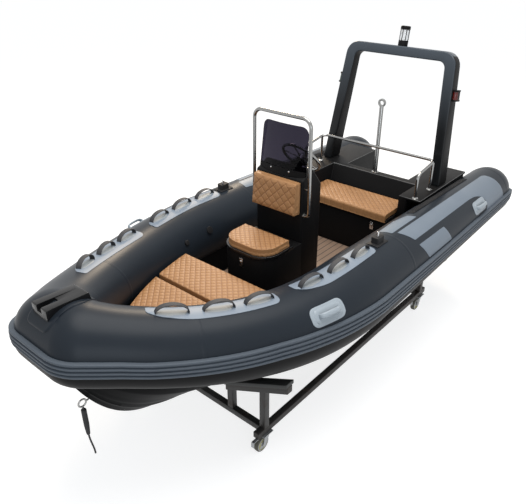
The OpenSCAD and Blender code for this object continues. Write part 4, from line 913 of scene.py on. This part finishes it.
def addSteps(s):
    for sign, word in bothSides:
        rings = []
        for n in range(s["rows"] + 1):
            t = tAt(s["span"][0] + (s["span"][1] - s["span"][0]) * n / s["rows"])
            end = min(1, n / 1.5, (s["rows"] - n) / 1.5)
            ring = []
            for k in range(s["cols"] + 1):
                f = k / s["cols"]
                wave = max(0, math.sin(math.pi * (2 * s["ribs"] * f + 0.5))) ** 0.6
                edge = min(1, f / s["edge"], (1 - f) / s["edge"])
                ring.append(skin(sign * t, s["low"] + (s["high"] - s["low"]) * f,
                                 (s["base"] + (s["thick"] - s["base"]) * wave * end) * (0.2 + 0.8 * edge)))
            ring += [skin(sign * t, s["low"] + (s["high"] - s["low"]) * k / 8, s["seat"]) for k in range(8, -1, -1)]
            rings.append(ring)
        piece = dress(sweptObject("stepStrip" + word, rings), rubberMat)
        if sign > 0:
            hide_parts("step_pads")


addSteps(steps)
print("patches and steps made")

# moulded lifting handles on the tube sides
lifts = {"places": [(0.8416, 37.5), (-1.400, 30.0)], "length": 0.250, "half": 0.062, "thick": 0.009,
         "plates": [(1.0, 1.0, 0.05, 0.5), (0.82, 0.74, 0.045, 1.0)], "gripLength": 0.170, "gripHeight": 0.046,
         "gripWidth": 0.034, "gripThick": 0.016, "gripSteps": 32, "cell": 0.012}


def addLifts(h):
    parts = []
    for x, deg in h["places"]:
        for sign in (1, -1):
            # a low plate and a smaller one on it: shares of length, width and thickness
            for long, wide, corner, thick in h["plates"]:
                w, k, c = long * h["length"] / 2, wide * h["half"], arc(deg)
                box = [(x - w, c - k), (x + w, c - k), (x + w, c + k), (x - w, c + k)]
                parts.append(skinPatch("plate", roundedOutline(box, corner, 8), h["thick"] * thick, sign, h["cell"]))
            p, along, side, out = loopFrame(x, deg, h["thick"] * 0.5, sign)
            path = []
            for k in range(h["gripSteps"] + 1):
                a = math.pi * k / h["gripSteps"]
                reach = math.copysign(abs(math.cos(a)) ** 0.55, math.cos(a))
                path.append(p + along * (h["gripLength"] - h["gripThick"]) / 2 * reach
                            + out * (h["gripHeight"] - h["gripThick"] / 2) * math.sin(a) ** 0.6)
            rings = pathRings(path, 1.0, 24)
            shaped = []
            for q, ring in zip(path, rings):
                new = []
                for v in ring:
                    d = v - q
                    s = d @ side
                    rest = d - side * s
                    new.append(q + side * s * h["gripWidth"] / 2 + rest * h["gripThick"] / 2)
                shaped.append(new)
            parts.append(sweptObject("grip", shaped))
    dress(joined("liftingHandles", parts), handleMat, "boat", ["lifting_handles"])


addLifts(lifts)
print("lifting handles made")

# hull: the same sections as the solid, in fine steps
hull = {"keel": 0.280, "floor": 0.650, "keelRun": 1.196, "rise": 0.720, "riseLength": 1.300, "power": 4.6,
        "stemHalf": 0.030, "stemLead": 0.090, "chineY": 0.74, "chineZ": 0.54, "transom": -1.854, "inset": 0.020,
        "rail": 0.012, "railAt": (0.30, 0.50), "railHalf": 0.055, "railSlope": 0.25, "steps": 13, "seat": 0.0003,
        "lap": (255, 247, 240, 232, 225, 217, 210)}


def keelZ(x):
    start = collar["bowX"] - hull["keelRun"]
    return hull["keel"] + (hull["rise"] * ((x - start) / hull["riseLength"]) ** hull["power"] if x > start else 0)


def hullRing(t):
    h = hull
    mid = (skin(t, 0) + skin(t, 180)) / 2
    ahead = h["stemLead"] * max(0, 1 - t / tSide)
    keel = np.array([mid[0] + ahead, 0.0, keelZ(mid[0] + ahead)])
    flange = skin(t, h["lap"][0])
    chine = np.array([keel[0] + (flange[0] - keel[0]) * h["chineZ"], flange[1] * h["chineY"],
                      keel[2] + (flange[2] - keel[2]) * h["chineZ"]])
    half = [keel]
    for k in range(1, h["steps"]):
        f = k / h["steps"]
        lift = h["rail"] * sum(max(0, 1 - abs(f - c) / h["railHalf"]) for c in h["railAt"])
        half.append(keel + (chine - keel) * f + np.array([0, h["railSlope"] * lift, -lift]))
    half += [chine, chine + (flange - chine) * 0.5]
    half += [skin(t, d, h["seat"]) for d in h["lap"]]
    o, i = skin(t, 0), skin(t, 180)
    v = (i - o) / np.linalg.norm(i - o)
    x, y = half[-1][:2] + v[:2] * h["inset"]
    half.append(np.array([x, max(y, h["stemHalf"] / 3), h["floor"]]))
    return half


def addHull(h):
    start = tMitre * h["stemHalf"] / ((stationAt(1)[0][1] + stationAt(1)[1][1]) / 2)
    rings = []
    for t in tSteps(start, tAt(h["transom"])):
        half = hullRing(t)
        rings.append(half + [p * np.array([1, -1, 1]) for p in reversed(half[1:])])
    dress(sweptObject("hullShell", rings), gelMat, "boat", ["boat_hull"])


addHull(hull)
print("hull made")


# quilted cushions: cloth under pressure, then stitched diamonds
def cushion(node, pitch, voxel, body="boat", face=2, shrink=0.007, **more):
    return dict(node=node, pitch=pitch, voxel=voxel, body=body, face=face, shrink=shrink, **more)


cushions = {"bowCushionAft": cushion("bow_cushion_aft", 0.038, 0.0075),
            "bowCushionForward": cushion("bow_cushion_forward", 0.038, 0.007),
            "frontCushion": cushion("front_cushion", 0.036, 0.006, "front_lid"),
            "benchCushion": cushion("bench_cushion", 0.038, 0.008, "bench_lid", pleat=0.070),
            "backrestPad": cushion("backrest_pad", 0.052, 0.006, face=0, shrink=0.006)}
quilt = {"frames": 20, "pressure": 4.0, "stiffness": 15, "cap": 0.004, "smooth": 5, "heldBand": 0.010,
         "groove": 0.0020, "grooveWidth": 0.0042, "puff": 0.0018, "thread": 0.0024, "flat": 0.80, "flatFade": 0.15,
         "pleatWidth": 0.006, "pleatDepth": 0.004, "pleatFrom": 0.35, "pleatFade": 0.3}


def startCushion(name, c):
    obj = linked(name, cad[c["node"]].data.copy())
    obj.data.materials.clear()
    mod = obj.modifiers.new("remesh", "REMESH")
    mod.mode = "VOXEL"
    mod.voxel_size = c["voxel"]
    bakeModifiers(obj)
    bm = opened(obj.data)
    for _ in range(quilt["smooth"]):
        bmesh.ops.smooth_vert(bm, verts=bm.verts, factor=0.5, use_axis_x=True, use_axis_y=True, use_axis_z=True)
    bm.normal_update()
    low = min(v.co[c["face"]] for v in bm.verts)
    moves = {v: v.normal.copy() for v in bm.verts}
    held = []
    for v in bm.verts:
        if v.co[c["face"]] < low + quilt["heldBand"]:
            held.append(v.index)
            n = moves[v]
            n[c["face"]] = 0
            v.co -= n * c["shrink"]
        else:
            v.co -= moves[v] * c["shrink"]
    closed(bm, obj.data)
    group = obj.vertex_groups.new(name="held")
    group.add(held, 1.0, "REPLACE")
    return obj


def swellCushions(objs):
    before = {o: np.array([v.co[:] for v in o.data.vertices]) for o in objs}
    for o in objs:
        mod = o.modifiers.new("swell", "CLOTH")
        s = mod.settings
        s.quality = 5
        s.use_pressure = True
        s.uniform_pressure_force = quilt["pressure"]
        s.effector_weights.gravity = 0
        s.vertex_group_mass = "held"
        s.tension_stiffness = s.compression_stiffness = quilt["stiffness"]
        mod.point_cache.frame_start = 1
        mod.point_cache.frame_end = quilt["frames"]
    for k in range(1, quilt["frames"] + 1):
        scene.frame_set(k)
    dg = bpy.context.evaluated_depsgraph_get()
    for o in objs:
        after = np.array([v.co[:] for v in o.evaluated_get(dg).data.vertices])
        o.modifiers.clear()
        move = after - before[o]
        size = np.linalg.norm(move, axis=1, keepdims=True)
        move *= np.minimum(1, quilt["cap"] / np.maximum(size, 1e-9))
        for v, p in zip(o.data.vertices, before[o] + move):
            v.co = p
    scene.frame_set(1)


def stitchCushion(obj, c):
    bm = opened(obj.data)
    bmesh.ops.subdivide_edges(bm, edges=bm.edges[:], cuts=1, use_grid_fill=True, smooth=0.3)
    bm.normal_update()
    face = c["face"]
    a, b = [k for k in range(3) if k != face]
    mid = [(min(v.co[k] for v in bm.verts) + max(v.co[k] for v in bm.verts)) / 2 for k in range(3)]
    layer = bm.verts.layers.float.new("stitch")
    moves = []
    for v in bm.verts:
        on = min(1, max(0, (v.normal[face] - quilt["flat"]) / quilt["flatFade"]))
        u = ((v.co[a] - mid[a]) + (v.co[b] - mid[b])) / math.sqrt(2) / c["pitch"]
        w = ((v.co[a] - mid[a]) - (v.co[b] - mid[b])) / math.sqrt(2) / c["pitch"]
        du, dw = abs(u - round(u)), abs(w - round(w))
        near = min(du, dw) * c["pitch"]
        groove = math.exp(-(near / quilt["grooveWidth"]) ** 2)
        puff = (2 * du) ** 0.6 * (2 * dw) ** 0.6
        v[layer] = on * math.exp(-(near / quilt["thread"]) ** 2)
        lift = on * (quilt["puff"] * puff - quilt["groove"] * groove)
        if "pleat" in c:
            # gathers where the cover turns over the front edge
            y = v.co.y / c["pleat"]
            fold = math.exp(-(abs(y - round(y)) * c["pleat"] / quilt["pleatWidth"]) ** 2)
            lift -= quilt["pleatDepth"] * fold * min(1, max(0, (v.normal.x - quilt["pleatFrom"]) / quilt["pleatFade"]))
        moves.append((v, v.normal * lift))
    for v, m in moves:
        v.co += m
    for f in bm.faces:
        f.smooth = True
    closed(bm, obj.data)


def addCushions():
    made = {name: startCushion(name, c) for name, c in cushions.items()}
    swellCushions(list(made.values()))
    for name, c in cushions.items():
        stitchCushion(made[name], c)
        dress(made[name], leatherMat, c["body"], [c["node"]])


addCushions()
print("cushions made")

# moulded pieces with eased edges
for node, name, mat, bevel in (
        ("console", "consolePod", mouldMat, 0.014), ("front_locker", "frontLocker", mouldMat, 0.004),
        ("front_lid", "frontLid", glossMat, 0.004), ("bench_locker", "benchLocker", mouldMat, 0.005),
        ("bench_lid", "benchLid", glossMat, 0.004), ("quarter_deck", "quarterDeck", mouldMat, 0.008),
        ("transom_board", "transomBoard", mouldMat, 0.006), ("bow_deck", "bowDeck", mouldMat, 0.005),
        ("latches", "drawLatches", pinMat, 0.0015), ("helm_boss", "helmBoss", mouldMat, 0.003),
        ("cradle_rails", "cradleRails", cradleMat, 0.004), ("cradle_posts", "cradlePosts", cradleMat, 0.004),
        ("bunk_pads", "bunkPads", bunkMat, 0.006), ("castor_plates", "castorPlates", zincMat, 0.0012),
        ("bow_chock", "bowChock", glossMat, 0.005), ("air_valves", "airValves", rubberMat, 0.003),
        ("tow_pole", "towPole", steelMat, 0.002), ("floor_decking", "teakFloor", teakMat, 0.002)):
    easedNode(node, name, mat, bevel)
print("moulded pieces made")


def finishFaces(obj, mats, choose):
    # more finishes on one piece, picked by the place and normal of each face
    for mat in mats:
        obj.data.materials.append(mat)
    for f in obj.data.polygons:
        f.material_index = choose(f.center, f.normal)


# painted highlight: bevel faces of the upper edges take a lighter grey
highlightedEdges = {"pieces": ("quarterDeck", "benchLid", "frontLid"), "low": 0.35, "high": 0.92}
for name in highlightedEdges["pieces"]:
    finishFaces(bpy.data.objects[name], [edgeHighlightMat], lambda c, n: 1 if highlightedEdges["low"] < n.z < highlightedEdges["high"] else 0)

# arch: slate on the faces turned forward and up, black on its sides and inside: painted light and painted shade by
# face direction
archLightShade = {"bevel": 0.012, "front": 0.45, "top": 0.7}
# painted light and shade: the face normal picks slate for lit faces and black for shaded ones
finishFaces(easedNode("arch", "radarArch", archLightShadeMat, archLightShade["bevel"], 4), [mouldMat],
            lambda c, n: 0 if n.x > archLightShade["front"] or n.z > archLightShade["top"] else 1)

# lights: axis leans aft with the arch
lightLook = {"lean": 9.0, "base": 0.046, "lens": 0.092, "r": 0.043, "lip": 0.001, "bars": 8, "barR": 0.0035,
             "barIn": 0.003, "sideHalf": 0.0325, "sideFace": 0.3, "sideBack": 0.012}


def addLights(k):
    axis = Vector((-math.sin(math.radians(k["lean"])), 0, math.cos(math.radians(k["lean"]))))
    low, high = (Vector(v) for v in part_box("masthead_light"))
    drop = k["r"] * math.sin(math.radians(k["lean"]))
    foot = Vector((high.x - k["r"] * axis.z, 0, low.z + drop))

    def part(c, n):
        h = (c - foot).dot(axis)
        return 1 if k["base"] + k["lip"] < h < k["base"] + k["lens"] - k["lip"] else 0
    lamp = easedNode("masthead_light", "mastheadLight", mouldMat, 0.002)
    finishFaces(lamp, [clearMat], part)
    side = Vector((0, 1, 0)).cross(axis)
    bars = []
    for i in range(k["bars"]):
        a = 2 * math.pi * i / k["bars"]
        p = foot + (side * math.cos(a) + Vector((0, 1, 0)) * math.sin(a)) * (k["r"] - k["barIn"])
        bars.append(tubeObject("bar", [p + axis * k["base"], p + axis * (k["base"] + k["lens"])], k["barR"], 10))
    dress(joined("lensBars", bars), mouldMat)
    for node, name, mat, sign in (("side_light_port", "sideLightPort", redMat, 1),
                                  ("side_light_starboard", "sideLightStarboard", greenMat, -1)):
        low, high = (Vector(v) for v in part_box(node))
        mid = (low + high) / 2
        box = easedNode(node, name, mouldMat, 0.0015)
        finishFaces(box, [mat], lambda c, n: 1 if abs((c - mid).dot(axis)) < k["sideHalf"]
                    and max(n.y * sign, n.x) > k["sideFace"] and c.x > mid.x - k["sideBack"] else 0)


addLights(lightLook)
print("arch and lights made")

# stainless tubes
hoop = {"x": 0.200, "half": 0.270, "lean": 0.010, "footZ": 1.350, "foot": 0.2253, "top": 2.086, "r": 0.014,
        "bend": 0.070, "footBend": 0.034, "stubZ": 1.565, "stubR": 0.007}
rail = {"half": 0.587, "foreX": -0.910, "aftX": -1.206, "top": 1.4825, "r": 0.0125, "bend": 0.060, "shoulder": 0.82,
        "footR": 0.026, "footEdge": 0.002, "footT": 0.005, "footTop": 0.011}


def mirrored(port):
    return port + [(x, -y, z) for x, y, z in reversed(port)]


def addHoop(h):
    port = [(h["x"], h["foot"], h["footZ"]), (h["x"], h["half"], h["footZ"]),
            (h["x"], h["half"] - h["lean"], h["top"])]
    path = filletPath(mirrored(port), [h["footBend"], h["bend"], h["bend"], h["footBend"]], 14)
    parts = [tubeObject("run", path, h["r"])]
    reach = h["half"] - h["lean"] * (h["stubZ"] - h["footZ"]) / (h["top"] - h["footZ"])
    for sign in (1, -1):
        for z, r in ((h["stubZ"], h["stubR"]), (h["footZ"], h["r"] * 1.5)):
            end = reach if z == h["stubZ"] else h["foot"] + 0.004
            parts.append(tubeObject("stub", [(h["x"], sign * h["foot"], z), (h["x"], sign * end, z)], r))
    dress(joined("consoleHoop", parts), steelMat, "boat", ["console_hoop"])


def addRail(r):
    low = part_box("stern_rail")[0][2]
    shoulder = low + (r["top"] - low) * r["shoulder"]
    port = [(r["foreX"], r["half"], low), (r["foreX"], r["half"], shoulder), (r["aftX"], r["half"], r["top"])]
    parts = [tubeObject("run", filletPath(mirrored(port), [r["bend"]] * 4, 14), r["r"])]
    post = r["aftX"] + r["bend"] / 2
    profile = [(0.0, 0.0), (r["footR"], 0.0), (r["footR"], r["footEdge"]), (r["footR"] * 0.9, r["footT"]),
               (r["r"] * 1.25, r["footT"] * 1.3), (r["r"], r["footTop"]), (0.0, r["footTop"])]
    for y in (r["half"], -r["half"]):
        parts.append(tubeObject("post", [(post, y, low), (post, y, r["top"] - r["r"] / 2)], r["r"]))
        for x in (post, r["foreX"]):
            parts.append(revolved("foot", profile, (x, y, low), steps=40))
    dress(joined("sternRail", parts), steelMat, "boat", ["stern_rail"])


addHoop(hoop)
addRail(rail)
print("rails made")

# foot strip of the windscreen with two screws
screenFoot = {"r": 0.700, "x": 0.222, "z": 1.630, "rake": 6.0, "half": 0.215, "low": 0.006, "high": 0.058,
              "thick": 0.004, "seat": 0.0004, "slope": 0.48, "screws": (-0.085, 0.085), "screwZ": 0.040,
              "steps": 40, "screw": [(0, 0), (0.0065, 0), (0.006, 0.0016), (0.0035, 0.0026), (0, 0.003)]}


def addScreenFoot(f):
    turn = Matrix.Rotation(math.radians(-f["rake"]), 3, "Y")
    foot = Vector((f["x"], 0, f["z"]))

    def at(off, a, z):
        r = f["r"] + off
        return foot + turn @ Vector((r * math.cos(a) - f["r"], r * math.sin(a), z))
    rings = []
    for k in range(f["steps"] + 1):
        y = f["half"] * (2 * k / f["steps"] - 1)
        a = math.asin(y / f["r"])
        # the console top rises aft, so the strip starts higher at its ends
        low = f["low"] + f["slope"] * f["r"] * (1 - math.cos(a))
        corners = ((f["seat"], low), (f["thick"], low), (f["thick"], f["high"]), (f["seat"], f["high"]))
        rings.append([at(off, a, z) for off, z in corners])
    dress(sweptObject("screenFoot", rings), mouldMat)
    screws = []
    for y in f["screws"]:
        a = math.asin(y / f["r"])
        out = turn @ Vector((math.cos(a), math.sin(a), 0))
        screws.append(revolved("screw", f["screw"], at(f["thick"], a, f["screwZ"]), out, 24))
    dress(joined("screenScrews", screws), pinMat)


addScreenFoot(screenFoot)

# glued flange round the foot of the bow chock
chockFlange = {"half": 0.106, "low": 37.0, "high": 138.0, "thick": 0.006, "rows": 60, "cols": 28, "ends": 9,
               "endShare": 0.62, "rimShares": (0.03, 0.75, 1.0)}


def addChockFlange(f):
    def tFor(deg, y):
        a, b = 0.0, 8.0
        for _ in range(40):
            m = (a + b) / 2
            a, b = (m, b) if skin(m, deg)[1] < y else (a, m)
        return a
    rows, cols, share = f["rows"], f["cols"], f["endShare"]
    verts = []
    for i in range(rows + 1):
        deg = f["low"] + (f["high"] - f["low"]) * i / rows
        e = min(1, i / f["ends"], (rows - i) / f["ends"])
        half = f["half"] * (share + (1 - share) * math.sqrt(1 - (1 - e) ** 2))
        t = tFor(deg, half)
        for j in range(cols + 1):
            w = j / cols * 2 - 1
            inside = min(i, rows - i, 2 * j, 2 * (cols - j))
            verts.append(skin(t * w if w else 0.0, deg, f["thick"] * f["rimShares"][min(2, inside)]))
    flange = meshObject("chockFlange", verts, gridFaces(rows + 1, cols + 1))
    tidyNormals(flange, 60.0)
    dress(flange, tubeMat)


addChockFlange(chockFlange)

# rubber skirt that closes the gap between the quarter deck and the tubes
deckSkirt = {"y": 0.640, "front": -0.890, "back": -1.800, "thick": 0.006, "drop": 0.012, "seat": 0.0006,
             "least": 0.002, "steps": 24}


def addDeckSkirt(d):
    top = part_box("quarter_deck")[1][2] - d["drop"]
    parts = []
    for sign in (1, -1):
        rings = []
        for k in range(d["steps"] + 1):
            x = d["front"] + (d["back"] - d["front"]) * k / d["steps"]
            z, r = stationAt(tAt(x))[2:]
            ring = []
            for y, high in ((d["y"], top), (d["y"] - d["thick"], top), (d["y"] - d["thick"], 0), (d["y"], 0)):
                foot = z + math.sqrt(r * r - (collar["halfSpacing"] - y) ** 2) + d["seat"]
                ring.append((x, sign * y, high or min(foot, top - d["least"])))
            rings.append(ring)
        parts.append(sweptObject("skirt", rings))
    dress(joined("deckSkirt", parts), rubberMat)


addDeckSkirt(deckSkirt)

# mooring posts: bright pin through the block
post = {"half": (0.0425, 0.0315), "barDrop": 0.045, "capDrop": 0.030, "pinR": 0.012, "ease": 0.003}


def addPosts(p):
    low, high = (Vector(v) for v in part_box("mooring_posts"))
    x, y = (low.x + high.x) / 2, collar["halfSpacing"]

    def bright(c, n):
        dx, dy = abs(c.x - x), abs(abs(c.y) - y)
        bar = dx > p["half"][0] or dy > p["half"][1]
        pin = c.z > high.z - p["capDrop"] and max(dx, dy) < p["pinR"]
        return 1 if c.z > high.z - p["barDrop"] and (bar or pin) else 0
    finishFaces(easedNode("mooring_posts", "mooringPosts", rubberMat, p["ease"]), [pinMat], bright)


addPosts(post)

# finishes on solids that keep their own shape
for node, mat in (("bow_eye", steelMat), ("windscreen", glassMat), ("steering_wheel", steelMat)):
    cad[node].data.materials.clear()
    cad[node].data.materials.append(mat)

# castors: dark tread, yellow core ring, zinc hub
castorLook = {"hub": 0.019, "ring": 0.0465, "forkEase": 0.001, "wheelEase": 0.002}
for c in ("fp", "fs", "ap", "as"):
    easedNode("castor_fork_" + c, "castorFork_" + c, zincMat, castorLook["forkEase"])
    low, high = (Vector(v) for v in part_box("castor_wheel_" + c))
    mid = (low + high) / 2
    reach = lambda v: math.hypot(v.x - mid.x, v.z - mid.z)
    wheel = easedNode("castor_wheel_" + c, "castorWheel_" + c, tyreMat, castorLook["wheelEase"])
    finishFaces(wheel, [ringMat, zincMat],
                lambda v, n: 2 if reach(v) < castorLook["hub"] else 1 if reach(v) < castorLook["ring"] else 0)
print("fittings finished")
